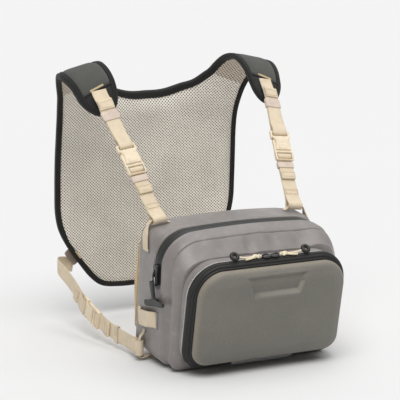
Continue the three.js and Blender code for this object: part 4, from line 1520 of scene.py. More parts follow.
@dataclass
class Buckle:
    """Side-release buckle, fastened: sizes along it from the webbing bar, and half widths.

    Boxes give start, end, half width and corner radius; body and prong are rows of place and half width.
    """

    length: float = 44.0
    rise: float = 2.4
    bar_frame: Box = (0.1, 11.0, 13.8, 1.6)
    bar_slot: Box = (2.9, 7.5, 10.7, 0.7)
    root: Box = (8.9, 13.2, 9.6, 1.2)
    floor: Box = (6.4, 9.6, 11.4, 0.6)
    thumb_rest: Box = (19.5, 27.5, 6.5, 3.5)
    ladder: Box = (29.9, 44.0, 12.9, 1.8)
    ladder_slot: Box = (32.9, 42.3, 10.5, 1.0)
    grip: Box = (35.9, 38.1, 11.2, 0.9)
    wall_run: tuple[float, float] = (16.0, 28.0)
    wall_at: float = 6.4
    wall_half: float = 1.2
    body: Rows = (
        (9.4, 12.9), (10.6, 12.5), (12.2, 11.0), (14.4, 9.5), (17.4, 8.9), (21, 9.2), (25, 9.9), (28.4, 10.8),
    )
    prong: Rows = (
        (12.2, 8.4), (12.9, 11.3), (14.8, 12.4), (18, 12.6), (24, 12.4), (28, 12.7), (30.5, 12.4),
    )

    def both_sides(self, edge: Rows, per_span: int = 6) -> Array:
        """Closed outline from the half widths of an edge, mirrored across the middle.

        Args:
            edge: Rows of place along the buckle and half width.
            per_span: Samples between rows.

        Returns:
            Points of the outline, a little bowed at its far end.
        """
        bow, shoulder = 0.4, (1.0, 0.6)
        half = np.asarray(edge, float)
        start, end = half[0], half[-1]
        rim = np.vstack([start * (1, 0), start * shoulder, half, end * shoulder])
        rim[-1, 0] += bow
        other = rim[:0:-1] * (1.0, -1.0)
        return curve_through(np.vstack([rim, end * (1, 0) + (bow, 0), other]), per_span, closed=True)

    def female(self) -> list[Surface]:
        """Housing: webbing bar frame, two waisted plates, the walls between them and a raised thumb rest.

        Returns:
            Surfaces in the buckle's own along, across and over.
        """
        outline = self.both_sides(self.body)
        start, end = self.wall_run
        walls = [
            plate(round_box((start, b - self.wall_half), (end, b + self.wall_half), 0.8), -2.0, 2.0, 0.3)
            for b in (-self.wall_at, self.wall_at)
        ]
        return [
            frame_plate(box_outline(self.bar_frame), box_outline(self.bar_slot), 2.0),
            plate(outline, 1.75, 3.2, 0.6, 0.25),
            plate(outline, -3.2, -1.75, 0.6),
            *walls,
            plate(box_outline(self.root), -2.6, 2.6, 0.6),
            plate(box_outline(self.floor), -1.95, -1.2, 0.2),
            plate(box_outline(self.thumb_rest), 2.9, 3.6, 0.3, 0.2),
        ]

    def male(self) -> list[Surface]:
        """Insert: ladder frame, its grip bar, and the prongs that show in the housing's side windows.

        Returns:
            Surfaces in the buckle's own along, across and over.
        """
        return [
            frame_plate(box_outline(self.ladder), box_outline(self.ladder_slot), 2.5),
            plate(box_outline(self.grip), -2.2, -0.4, 0.7),
            plate(self.both_sides(self.prong, 5), -1.6, 1.6, 0.5),
        ]


FEMALE_TURN = (
    (-22, 0.75), (-11, 0.5), (-3, -0.35), (2.9, -0.35), (4.5, 0.4), (5.1, 2.4), (4.5, 4.4), (2.9, 5.15),
    (-3, 5.15), (-11, 3.4), (-22, 2.55),
)
MALE_TURN = (
    (60, 2.35), (69, 2.35), (70.1, 1.9), (70.1, 1), (69, 0.55), (58, 0.55), (47, 0.5), (42.4, 0.3),
    (40.9, 0.5), (40.0, 1.7), (39.4, 3.1), (38.0, 3.7), (35.8, 3.7), (34.5, 3.0), (34.2, 1.2), (35.2, -0.7),
    (38, -1.35), (47, -1.3), (58, -1.25), (70, -1.25),
)


def shifted(path: Rows, a: float) -> Array:
    """Path of a, h points moved along the line."""
    return np.asarray(path, float) + (a, 0.0)


def eye_path(a: float, radius: float = 4.7) -> Array:
    """Path of an eye round a corner loop: nearly a full turn, with both layers running back.

    Args:
        a: Place of the loop along the line.
        radius: Radius of the eye.

    Returns:
        Points a, h of the path.
    """
    turn = np.radians(np.linspace(-130, 130, 11))
    loop = np.stack([radius * np.cos(turn), radius * np.sin(turn) - 0.35], axis=1)
    return shifted(np.vstack([[(-12, -1.25)], loop, [(-12, 0.55), (-24, 0.55)]]), a)


def tack_rows(spine: Spine, start: float, end: float, height: float) -> list[Surface]:
    """Stitched block across webbing: rows of thread from edge to edge, and one along each edge.

    Args:
        spine: Line the webbing lies on.
        start: Where the block starts.
        end: Where it ends.
        height: Height of the webbing's upper face over the line.

    Returns:
        The threads.
    """
    half, pitch, radius = 8.2, 2.4, 0.3
    across, along = np.linspace(-half, half, 30), np.linspace(start, end, 20)
    rows = [
        thread(spine.put(a, height, across), spine.frame_at(a)[3], pitch, radius) for a in (start, end)
    ]
    over = spine.frame_at(along)[3]
    return rows + [thread(spine.put(along, height, b), over, pitch, radius) for b in (-half, half)]


@dataclass
class StrapSet:
    """One kind of strap on both sides: webbing, buckle, sleeves and stitching."""

    spine: Spine
    bar: float
    buckle: Buckle
    names: dict[str, str]
    webs: dict[str, Array]
    keepers: dict[str, Keeper]
    tacks: Sequence[tuple[float, float, float]]

    def build(self) -> Pieces:
        """Make the webbing, the two halves of the buckle, the sleeves and the stitches on each side.

        Returns:
            The pieces of both sides.
        """
        place = self.spine.rigid(self.bar, self.buckle.length, self.buckle.rise)
        halves = {"female": self.buckle.female(), "male": self.buckle.male()}
        stitches = [row for tack in self.tacks for row in tack_rows(self.spine, *tack)]
        pieces = []
        for side in Side:
            for word, path in self.webs.items():
                web = side.take([self.spine.web(path)])
                pieces.append(make_piece(side.named(word), "strap", web, SAND_WEBBING))
            for half, surfaces in halves.items():
                made = side.take([surface.moved(place) for surface in surfaces])
                pieces.append(make_piece(side.named(self.names[half]), "moulding", made, SAND_PLASTIC, 50.0))
            for word, keeper in self.keepers.items():
                sleeve = side.take([self.spine.sleeve(keeper)])
                pieces.append(make_piece(side.named(word), "sleeve", sleeve, keeper.finish))
            pieces.append(make_trim(side.named(self.names["stitches"]), side.take(stitches), SAND_THREAD))
        return pieces


@dataclass(frozen=True)
class BagFrame:
    """The bag's own axes: u to the right, v to the back, w up, tilted forward at the top."""

    rear_y: float = -131.1
    low_z: float = -325.6
    pitch: float = math.radians(6.0)

    def put(self, uvw: Array) -> Array:
        """Points of the bag in the pack's frame: turned by the pitch and moved to the rear face's foot.

        Args:
            uvw: Points in the bag's axes.

        Returns:
            Points in millimetres.
        """
        u, v, w = np.moveaxis(np.asarray(uvw, float), -1, 0)
        c, s = math.cos(self.pitch), math.sin(self.pitch)
        return np.stack([u, self.rear_y + v * c - w * s, self.low_z + v * s + w * c], axis=-1)

    def turn(self, uvw: Array) -> Array:
        """Directions of the bag in the pack's frame."""
        return self.put(uvw) - self.put(np.zeros(3))


BAG = BagFrame()
TOP_EYE = (98.0, -19.0, 163.4)
LOW_EYE = (122.4, -30.0, 0.5)


def shoulder_straps() -> StrapSet:
    """Straps from the pads' tips to the bag's top rear corners.

    Their line lies on the pad, by rows of x, s and t, and then runs straight to the corner loop.

    Returns:
        The straps, to be built.
    """
    rows = (
        (122, 46.5, 7.6), (121.7, 52, 7.7), (121.2, 58, 8.8), (120.6, 64, 10.4), (120, 70, 11),
        (119.4, 77, 11.2),
    )
    x, s, t = np.asarray(rows, float).T
    on_pad = SHEET.point(x, s, t)
    across = unit(SHEET.point(x + 5, s, t) - SHEET.point(x - 5, s, t))
    share = np.array([0.12, 0.25, 0.5, 0.75, 1.0])[:, None]
    beyond = on_pad[-1] + (BAG.put(TOP_EYE) - on_pad[-1]) * share
    level = across[-1] + (np.array([1.0, 0, 0]) - across[-1]) * np.minimum(1, 4 * share)
    spine = Spine(np.vstack([on_pad, beyond]), np.vstack([across, level]))
    bar, end = 84.0, spine.length
    run = [(a, 0.75) for a in (0, 10, 20, 26, 32, 38, 44, 53)]
    tail = [(53, 2.55), (44, 2.55), (32, 2.55), (19, 2.55), (17.9, 3), (17.9, 3.9), (19, 4.35), (31, 4.35)]
    upper = np.vstack([run, shifted(FEMALE_TURN, bar), tail])
    lower = np.vstack([shifted(MALE_TURN, bar), eye_path(end)])
    return StrapSet(
        spine, bar, Buckle(),
        {"female": "buckle_female", "male": "buckle_male", "stitches": "shoulder_stitches"},
        {"web_upper": upper, "web_lower": lower},
        {
            "keeper_upper": Keeper((34.0, 47.0), -GAP, 3.6),
            "keeper_lower": Keeper((bar + 45.5, bar + 54.0), -2.3, 1.6),
        },
        [(21.0, 29.0, 5.1), (bar + 61.5, bar + 67.5, 3.1), (end - 22, end - 16, 1.3)],
    )


def side_straps() -> StrapSet:
    """Straps from the panel's low side edges to the bag's low rear corners.

    Their line comes round from behind the panel, is straight along the buckle, and then runs to the bag.

    Returns:
        The straps, to be built.
    """
    start, end = np.array([127.8, -14, -305.0]), np.array([126.3, -56, -318.0])
    rear = [
        (104, 78, -272), (112, 78.2, -270.5), (121, 76.5, -268.8), (128.5, 70.5, -267.5), (132.5, 61, -268.5),
        (132.5, 50, -272), (130.5, 37, -278.5), (128.8, 18, -288), (128, -1, -299),
    ]
    straight = [start + unit(end - start) * a for a in (0, 22, 44, 50)]
    front = [(124.5, -92, -325.3), (122.5, -122, -327.5)]
    points = np.vstack([rear, straight, front, BAG.put(LOW_EYE)])
    spine = Spine(points, np.tile([0.0, 0.0, -1.0], (len(points), 1)))
    bar = float(spine.marks[len(rear) * spine.per_span])
    run = [(a, 0.75) for a in (0, 8, 16, 22, 28, 34, 40, 48, 58, 70) if a < bar - 26]
    tail = [(-18, 2.55), (-26, 2.55), (-27.1, 3), (-27.1, 3.9), (-26, 4.35), (-17, 4.35)]
    back = np.vstack([run, shifted([*FEMALE_TURN[:-1], *tail], bar)])
    fore = [*MALE_TURN, (78, -1.25), (87, -1.25), (95, -1.25)]
    return StrapSet(
        spine, bar, Buckle(),
        {"female": "side_female", "male": "side_male", "stitches": "side_stitches"},
        {"side_web_rear": back, "side_web_front": np.vstack([shifted(fore, bar), eye_path(spine.length)])},
        {"side_keeper": Keeper((bar + 83.0, bar + 91.0), -2.3, -0.2, 1.4, SAND_WEBBING)},
        [(bar - 25.0, bar - 18.5, 5.1), (bar + 61.5, bar + 67.5, 3.1)],
    )


@dataclass
class SideTabs:
    """Cloth tabs behind the binding where the side straps start, and the bar tacks in front of it."""

    start: tuple[float, float] = (98.5, -290.5)
    end: tuple[float, float] = (112.5, -272.0)
    length: float = 23.0
    half: float = 9.0
    low: float = 7.9
    thick: float = 3.4
    crown: float = 0.35

    def at(self, along: Array, out: Numbers, t: Numbers) -> Array:
        """Point of the sheet at a share of the tab's line, moved outward and raised.

        Args:
            along: Share of the way from start to end.
            out: Way outward from that line.
            t: Height off the side that lies on the wearer.

        Returns:
            Points in millimetres.
        """
        start, end = np.asarray(self.start), np.asarray(self.end)
        way = unit(end - start)
        x = start[0] + (end[0] - start[0]) * along + way[1] * out
        s = start[1] + (end[1] - start[1]) * along - way[0] * out
        return SHEET.point(x, s, t)

    def tab(self) -> list[Surface]:
        """Cloth tab: a slab with rounded corners, crowned between its ends.

        Returns:
            The tab's surface.
        """
        along, out = np.linspace(0, 1, 15)[:, None], np.linspace(-self.half, self.half, 13)[None, :]
        share = 0.5 + (along - 0.5) * (1 - 0.12 * (np.abs(out) / self.half) ** 6)
        lift = self.crown * smooth_step(0, 0.1, along) * smooth_step(0, 0.1, 1 - along)
        top = self.low + self.thick - self.crown + lift
        faces = [self.at(share, out, height) for height in (self.low, top)]
        return slab(*faces, grid_coords(along[:, 0] * self.length, out[0]))

    def bar(self) -> list[Surface]:
        """Bar tack on the wearer's side: a thread that zigzags across a narrow strip.

        Returns:
            The thread and the strip under it.
        """
        count, face = 61, -0.75
        place = np.linspace(0.22, 0.78, count)
        zigzag = -4.4 + 2.4 * np.abs((np.arange(count) / 4.0) % 2.0 - 1.0)
        line = self.at(place, zigzag, face)
        normal = unit(line - self.at(place, zigzag, 2.0))
        across = unit(self.at(place, zigzag + 1, face) - line)
        return [tube(line, normal, 0.4, 6), ribbon(self.at(place, -3.2, -0.4), across, normal, 2.4, 0.6)]

    def build(self) -> Pieces:
        """Make a tab and a bar tack on each side.

        Returns:
            The pieces.
        """
        tab, bar = self.tab(), self.bar()
        pieces = []
        for side in Side:
            pieces.append(make_piece(side.named("side_tab"), "cloth", side.take(tab), TAB_TWILL))
            pieces.append(make_piece(side.named("side_bar"), "tack", side.take(bar), SAND_THREAD))
        return pieces


def at_depth(flat: Array, v: Numbers) -> Array:
    """Points u, v, w of the bag from rows of u, w and their depth v."""
    return np.stack([flat[..., 0], np.broadcast_to(v, flat.shape[:-1]), flat[..., 1]], axis=-1)


@dataclass(frozen=True)
class Outline:
    """Rounded outline in u, w: half width, low and high edge, corner radii and the rise of its top."""

    half: float
    low: float
    high: float
    top_r: float
    low_r: float
    crown: float = 0.0
    arc: int = 22
    flat: int = 38

    def base(self) -> tuple[Array, Array]:
        """Outline anticlockwise from its low right corner: quarter circles joined by straight runs.

        Returns:
            Points of the outline, and the outward direction at each.
        """
        corners = (
            (self.half - self.low_r, self.low + self.low_r, self.low_r, -90.0),
            (self.half - self.top_r, self.high - self.top_r, self.top_r, 0.0),
            (self.top_r - self.half, self.high - self.top_r, self.top_r, 90.0),
            (self.low_r - self.half, self.low + self.low_r, self.low_r, 180.0),
        )
        points, outs = [], []
        for u, w, radius, start in corners:
            turn = np.radians(start + np.linspace(0, 90, self.arc + 1))
            way = np.stack([np.cos(turn), np.sin(turn)], axis=1)
            points.append(np.array([u, w]) + radius * way)
            outs.append(way)
        share = np.linspace(0, 1, self.flat + 2)[1:-1, None]
        ring, out = [], []
        for k in range(4):
            start, end = points[k][-1], points[(k + 1) % 4][0]
            ring += [points[k], start + (end - start) * share]
            out += [outs[k], np.tile(outs[k][-1], (self.flat, 1))]
        return np.vstack(ring), np.vstack(out)

    def rings(self, inset: Array) -> Array:
        """Outlines set in by each row of insets: base minus inset times the outward direction, top raised.

        Args:
            inset: Rows of insets, one for the whole ring or one for each point.

        Returns:
            Rows of u, w points.
        """
        base, out = self.base()
        inset = np.asarray(inset, float)
        inset = inset[:, None] if inset.ndim == 1 else inset
        flat = base[None] - inset[..., None] * out[None]
        arch = np.maximum(0.0, 1 - (flat[..., 0] / (self.half - self.top_r / 2)) ** 2)
        lift = self.crown * arch * smooth_step(self.high - self.top_r, self.high, flat[..., 1] + inset)
        return np.stack([flat[..., 0], flat[..., 1] + lift], axis=-1)

    def marks(self) -> Array:
        """Way round the outline at each point, closing on the first."""
        return lengths(shut(self.base()[0]))


BODY = Outline(115.0, -8.5, 157.2, 38.0, 15.0, 4.0)
GUSSET = Outline(108.0, 2.0, 136.5, 41.0, 27.0)
ZIP_RING = Outline(110.0, 0.5, 138.5, 42.0, 28.0)
SHELL = Outline(102.6, 8.0, 131.0, 34.0, 20.5, arc=40, flat=60)
POCKET_LEAN = 0.094
POCKET_MIDDLE = 70.0


def pocket_lean(v: Array, w: Array) -> Array:
    """Depth v of the pocket, leaning forward at the top."""
    return v - POCKET_LEAN * (w - POCKET_MIDDLE)


def closing(ring: Array, shares: Array) -> Array:
    """Rings shrunk towards a ring's middle by shares, to close a face."""
    middle = (ring.min(axis=0) + ring.max(axis=0)) / 2
    return middle + (ring - middle)[None] * shares[:, None, None]


@dataclass
class BagBody:
    """Welded body of coated cloth: sections from the rear face to the front face as depth and inset.

    brows are the sections' insets on the top, and drops how far the top falls at a depth. dents are rows of
    place u, depth v, their two widths and how deep they go; side_dents have the place w instead.
    """

    sections: Rows = (
        (0, 5), (-1.2, 2.7), (-3.5, 1.0), (-8, 0.3), (-22, 0), (-45, -0.8), (-53, -1.2), (-60, -1.2),
        (-67, -1.5), (-73, -1.5), (-79, 0.2), (-85, 3.3), (-89, 3.3), (-93.5, 1.7), (-97.5, 1.1),
        (-100.5, 1.7), (-103, 3.8), (-106, 8), (-107.6, 11), (-108, 13),
    )
    brows: Rows = (
        (0, 5), (-1.2, 2.7), (-3.5, 1.0), (-8, 0.3), (-22, 0), (-45, -0.8), (-60, -1.2), (-73, -1.5),
        (-80, -0.4), (-88, 0.6), (-108, 2.5),
    )
    drops: Rows = (
        (0, 0), (-60, 0), (-76, 0.6), (-82, 1.6), (-86, 3.4), (-90, 6.4), (-98, 13), (-103, 17), (-108, 21),
    )
    dents: Rows = (
        (-12, -99, 5.5, 9, 3.8), (22, -98, 7, 9, 2.4), (-48, -98, 9, 9, 2.2), (62, -98, 10, 9, 2.6),
        (-82, -100, 9, 7, 1.5), (-30, -84, 20, 8, 0.7), (40, -88, 24, 8, 0.6), (-20, -30, 40, 14, 1.1),
        (50, -36, 30, 12, 0.9),
    )
    side_dents: Rows = (
        (60, -88, 26, 8, 1.4), (110, -30, 24, 14, 1.2), (20, -70, 16, 14, 1.0), (88, -44, 20, 10, 0.6),
    )
    front_v: float = -108.0
    front_bulge: float = 0.9
    zip_v: float = -60.0
    zip_low: float = 90.0
    bed_depth: float = 2.8
    bed_half: tuple[float, float] = (8.8, 9.9)
    bed_lip: float = 1.2
    seam_v: float = -88.0
    seam_depth: float = 1.7
    wave: float = 0.35
    square: float = 7.5
    full: float = 3.6
    lift: float = 0.34

    def inset(self, v: Array) -> Array:
        """Inset of the section at a depth."""
        return Table(self.sections).at(v)

    def insets(self, rows: Array) -> Array:
        """Inset of each point: its section's, less the fuller corners, plus bed, seam, waves and dents.

        The zip's bed is a step with a raised lip, the weld seam a bell with a step behind it, the waves a
        product of two sines, and each dent a product of two bells.

        Args:
            rows: Depth v of each row of points, as a column.

        Returns:
            Insets, rows by points of the body's outline.
        """
        base, out = BODY.base()
        marks = BODY.marks()[:-1]
        u, w = base[None, :, 0], base[None, :, 1]
        zipped = smooth_step(self.zip_low - 4, self.zip_low + 1, w)
        off = np.abs(rows - self.zip_v)
        bed = self.bed_depth * (1 - smooth_step(*self.bed_half, off)) - self.bed_lip * bell(off, 11.8, 1.9)
        sewn = 0.25 + 0.75 * smooth_step(90, 125, w)
        behind = smooth_step(self.seam_v + 0.3, self.seam_v - 0.9, rows)
        seam = sewn * (self.seam_depth * bell(rows, self.seam_v, 0.8) - behind)
        wave = self.wave * np.sin(marks / 33 + rows / 19) * np.sin(marks / 57 - rows / 27)
        on_top = smooth_step(120, 150, w)
        on_side = 1 - on_top
        corner = 2 * out[:, 0] * out[:, 1] * (out[:, 1] > 0)
        near_front = smooth_step(-68, -80, rows) * smooth_step(-107, -93, rows)
        full = self.full * np.maximum(corner, 0) ** 2 * near_front
        full = full + self.square * corner**4 * smooth_step(-54, -32, rows)
        inset = self.inset(rows) * on_side + Table(self.brows).at(rows) * on_top - full
        inset = inset + zipped * bed + seam
        inset = inset + wave * smooth_step(0, 10, -rows) * (1 - zipped * bell(off, 0, 12))
        for way, share, dents in ((u, on_top, self.dents), (w, on_side, self.side_dents)):
            for place, v, width, run, depth in dents:
                inset = inset + depth * bell(way, place, width) * bell(rows, v, run) * share
        return inset

    def build(self) -> Pieces:
        """Loft the inset outlines from rear to front, let the top fall, and close both faces.

        Returns:
            The body's piece.
        """
        v = np.concatenate([
            np.linspace(0, -9, 12), np.linspace(-11, -44, 17), np.linspace(-45, -76, 63),
            np.linspace(-76.6, self.front_v, 70),
        ])
        rows = v[:, None]
        base = BODY.base()[0]
        u, w = base[None, :, 0], base[None, :, 1]
        rings = BODY.rings(self.insets(rows))
        drop = Table(self.drops).at(rows) * smooth_step(60, 119, w)
        rings[..., 1] -= drop * (1 - self.lift * smooth_step(50, 105, u))
        shares = np.array([0.97, 0.9, 0.75, 0.5, 0.25, 0.04])
        bulge = self.front_v - self.front_bulge * (1 - shares**2)
        points = np.concatenate([
            at_depth(closing(rings[0], shares[::-1]), 0.0),
            at_depth(rings, rows),
            at_depth(closing(rings[-1], shares), bulge[:, None]),
        ])
        coords = grid_coords(np.arange(len(points), dtype=float), BODY.marks())
        shell = Surface(BAG.put(points), coords, closed_cols=True, capped=True)
        return [make_piece("bag_body", "cloth", [shell], TAUPE_COATED, 60.0)]


@dataclass
class MainZip:
    """Coated zip over the top and down both sides, with its slider, link and T pull on the left.

    section is rows of way off the zip's middle and height; slider and pull are outlines in v, w.
    """

    section: Rows = (
        (-8.6, -0.9), (-8.7, 0.3), (-8.1, 1.0), (-6.2, 0.8), (-4.8, 0.7), (-3.4, 1.4), (-1.6, 1.9),
        (-0.5, 1.6), (0, 0.5), (0.5, 1.6), (1.6, 1.9), (3.4, 1.4), (4.8, 0.7), (6.2, 0.8), (8.1, 1.0),
        (8.7, 0.3), (8.6, -0.9), (0, -0.9),
    )
    slider: Rows = (
        (-65, 96), (-63, 92), (-57, 92), (-55, 96), (-55.5, 108), (-54.5, 116), (-57, 119), (-63, 119),
        (-65.5, 116), (-64.5, 108),
    )
    pull: Rows = (
        (-64.5, 96), (-63.8, 78), (-67, 75.5), (-78, 78), (-82, 78.9), (-86, 77), (-86, 73), (-82, 70.8),
        (-62, 66), (-40, 60), (-35, 59.5), (-32.5, 62), (-33.5, 65.5), (-38, 67.5), (-53, 71), (-56.2, 74.5),
        (-55.5, 96), (-57.5, 98), (-62.5, 98),
    )
    foot: float = 117.2
    slider_thick: float = 4.0
    bridge_run: tuple[float, float] = (95.0, 113.0)
    bridge_rise: float = 2.4
    pull_hinge: float = 98.0
    pull_drop: float = 38.0
    tuck: float = 5.2
    body: BagBody = field(default_factory=BagBody)

    def aside(self, surface: Surface) -> Surface:
        """A flat moulding stood on the bag's left side, its height measured off the middle."""
        return surface.moved(lambda p: BAG.put(np.stack([-p[..., 2], p[..., 0], p[..., 1]], axis=-1)))

    def band(self) -> Surface:
        """Zip: its section carried along the body's outline, waving a little as cloth does.

        Returns:
            The zip's surface.
        """
        base, out = BODY.base()
        keep = base[:, 1] >= self.body.zip_low + 0.5
        line, out = BODY.rings(np.zeros(1))[0][keep], out[keep]
        marks = lengths(line)
        section = np.asarray(self.section, float)
        inside = smooth_step(0, 60, marks) * smooth_step(0, 60, marks[-1] - marks)
        wave = 0.25 * np.sin(marks / 21.0) * inside
        flat = line[:, None] + out[:, None] * section[None, :, 1:]
        points = at_depth(flat, self.body.zip_v + section[None, :, 0] + wave[:, None])
        return Surface(BAG.put(points), grid_coords(marks, shut(section)[:, 0]), False, True, True)

    def fittings(self) -> dict[str, tuple[list[Surface], Finish]]:
        """Slider with its bridge, link and pull, flat in v, w and the height off the bag's middle.

        The pull bends in towards the bag, more and more below its hinge.

        Returns:
            Surfaces and finish of each solid.
        """
        top = self.foot + self.slider_thick
        slider = plate(curve_through(self.slider, 5, closed=True), self.foot, top, 1.1, 0.4)
        count = 13
        rise = top - 0.6 + self.bridge_rise * np.sin(np.linspace(0, math.pi, count))
        arch = np.stack([np.full(count, self.body.zip_v), np.linspace(*self.bridge_run, count), rise], axis=1)
        ring = frame_plate(
            round_box((-63.5, 92), (-56.5, 104), 1.8), round_box((-62, 93.5), (-58, 102.5), 1.0), 0.7,
        )
        ring = ring.moved(lambda p: p + (0, 0, top + GAP + 0.7))
        pull = plate(curve_through(self.pull, 5, closed=True), top + 2.0, top + 5.2, 1.2, 0.3)
        bend = (0.6 * self.tuck, 0.0, self.tuck)
        pull = pull.moved(
            lambda p: p - np.clip((self.pull_hinge - p[..., 1:2]) / self.pull_drop, 0, 1) * bend
        )
        return {
            "main_slider": ([slider, tube(arch, np.array([1.0, 0, 0]), 1.2)], BLACK_METAL),
            "main_link": ([ring], SILVER),
            "main_pull": ([pull], PULL_GREY),
        }

    def build(self) -> Pieces:
        """Make the zip and its fittings.

        Returns:
            The pieces.
        """
        pieces = [make_piece("main_zip", "band", [self.band()], ZIP_DARK, 50.0)]
        for node, (surfaces, finish) in self.fittings().items():
            stood = [self.aside(surface) for surface in surfaces]
            pieces.append(make_piece(node, "fitting", stood, finish, 50.0))
        return pieces


@dataclass
class BagLoops:
    """Webbing loops welded to the bag: one on the left side, one on each rear corner.

    side_path is rows of depth v and rise off the cloth; top_path and low_path are rows of u, w.
    """

    side_path: Rows = (
        (-12, 0), (-17, 0.3), (-22, 3), (-27, 5.8), (-37, 6.8), (-47, 5.8), (-52, 3), (-57, 0.3), (-62, 0),
    )
    top_path: Rows = (
        (82, 158.8), (85, 159.4), (88.5, 161.6), (92, 163), (106, 163.4), (110.4, 160.4), (113.4, 154),
        (115.8, 145), (116.4, 136), (116, 126),
    )
    low_path: Rows = (
        (116.6, 25), (117.6, 20), (121.8, 14), (122.4, -9.6), (121.2, -11.8), (117.5, -12.4), (108, -11.3),
        (96, -10.3), (84, -10.1),
    )
    side_width: float = 20.5
    side_w: float = 46.25
    side_slope: float = 0.16
    eye_width: float = 5.2
    spread: float = 8.2
    corner_thick: float = 1.3
    slant: float = 4.0
    body: BagBody = field(default_factory=BagBody)

    def side_loop(self) -> Surface:
        """Loop on the left side, bowed off the cloth between its welds.

        Returns:
            The webbing.
        """
        v, rise = np.asarray(self.side_path, float).T
        u = -(BODY.half - self.body.inset(v) + GAP + rise + WEB_THICK / 2)
        w = self.side_w - self.side_slope * (v - self.body.zip_v)
        line = evenly(curve_through(np.stack([u, v, w], axis=1), 8), 1.0)
        way = unit(np.gradient(line, axis=0))
        normal = unit(np.cross((0.0, 0.0, 1.0), way))
        across = unit(np.cross(way, normal))
        return ribbon(line, across, normal, self.side_width, WEB_THICK).moved(BAG.put)

    def corner_loop(self, path: Rows, v: float) -> Surface:
        """Loop round a rear corner, gathered where it passes through the strap's eye.

        Args:
            path: Rows of u, w that it follows.
            v: Its depth.

        Returns:
            The webbing, slanting forward on its way down from the top.
        """
        flat = np.asarray(path, float)
        slant = self.slant * smooth_step(156, 126, flat[:, 1]) * (flat[:, 1] > 60)
        line = evenly(curve_through(at_depth(flat, v - slant), 10), 1.0)
        across = np.array([0.0, 1.0, 0.0])
        normal = np.cross(unit(np.gradient(line, axis=0)), across)
        w = line[:, 2]
        flared = np.maximum(smooth_step(157, 146, w) * smooth_step(60, 62, w), smooth_step(-11, -14, w))
        width = self.eye_width + self.spread * flared
        return ribbon(line, across, normal, width, self.corner_thick).moved(BAG.put)

    def weld(self, v: float, w: float, half: float, tall: float) -> Surface:
        """Low welded patch on the right side, its edges eased down into the cloth.

        Args:
            v: Depth of its middle.
            w: Height of its middle.
            half: Half of its width.
            tall: Half of its height.

        Returns:
            The patch.
        """
        off = BODY.half - float(self.body.inset(np.asarray(v)))
        flat = plate(round_box((v - half, w - tall), (v + half, w + tall), 1.6), off - 0.8, off + 0.9, 0.7)
        return flat.moved(lambda p: BAG.put(np.stack([p[..., 2], p[..., 0], p[..., 1]], axis=-1)))

    def build(self) -> Pieces:
        """Make the side loop with its welds, and the corner loops with their patches.

        Returns:
            The pieces.
        """
        welds = Side.LEFT.take([self.weld(-63.0, 46.7, 2.0, 11.5), self.weld(-10.5, 38.3, 2.2, 11.5)])
        pieces = [
            make_piece("side_loop", "strap", [self.side_loop()], WIDE_WEBBING),
            make_trim("side_loop_welds", welds, GREY_WELD),
        ]
        corners = (("top", self.top_path, TOP_EYE[1]), ("bottom", self.low_path, LOW_EYE[1]))
        patches = [
            self.weld(TOP_EYE[1] - self.slant, 125.6, 7.6, 2.6),
            self.weld(LOW_EYE[1], 27.0, 5.4, 3.0),
        ]
        for side in Side:
            for word, path, v in corners:
                loop = side.take([self.corner_loop(path, v)])
                pieces.append(make_piece(side.named(f"corner_loop_{word}"), "strap", loop, NARROW_WEBBING))
            pieces.append(make_trim(side.named("corner_welds"), side.take(patches), GREY_WELD))
        return pieces


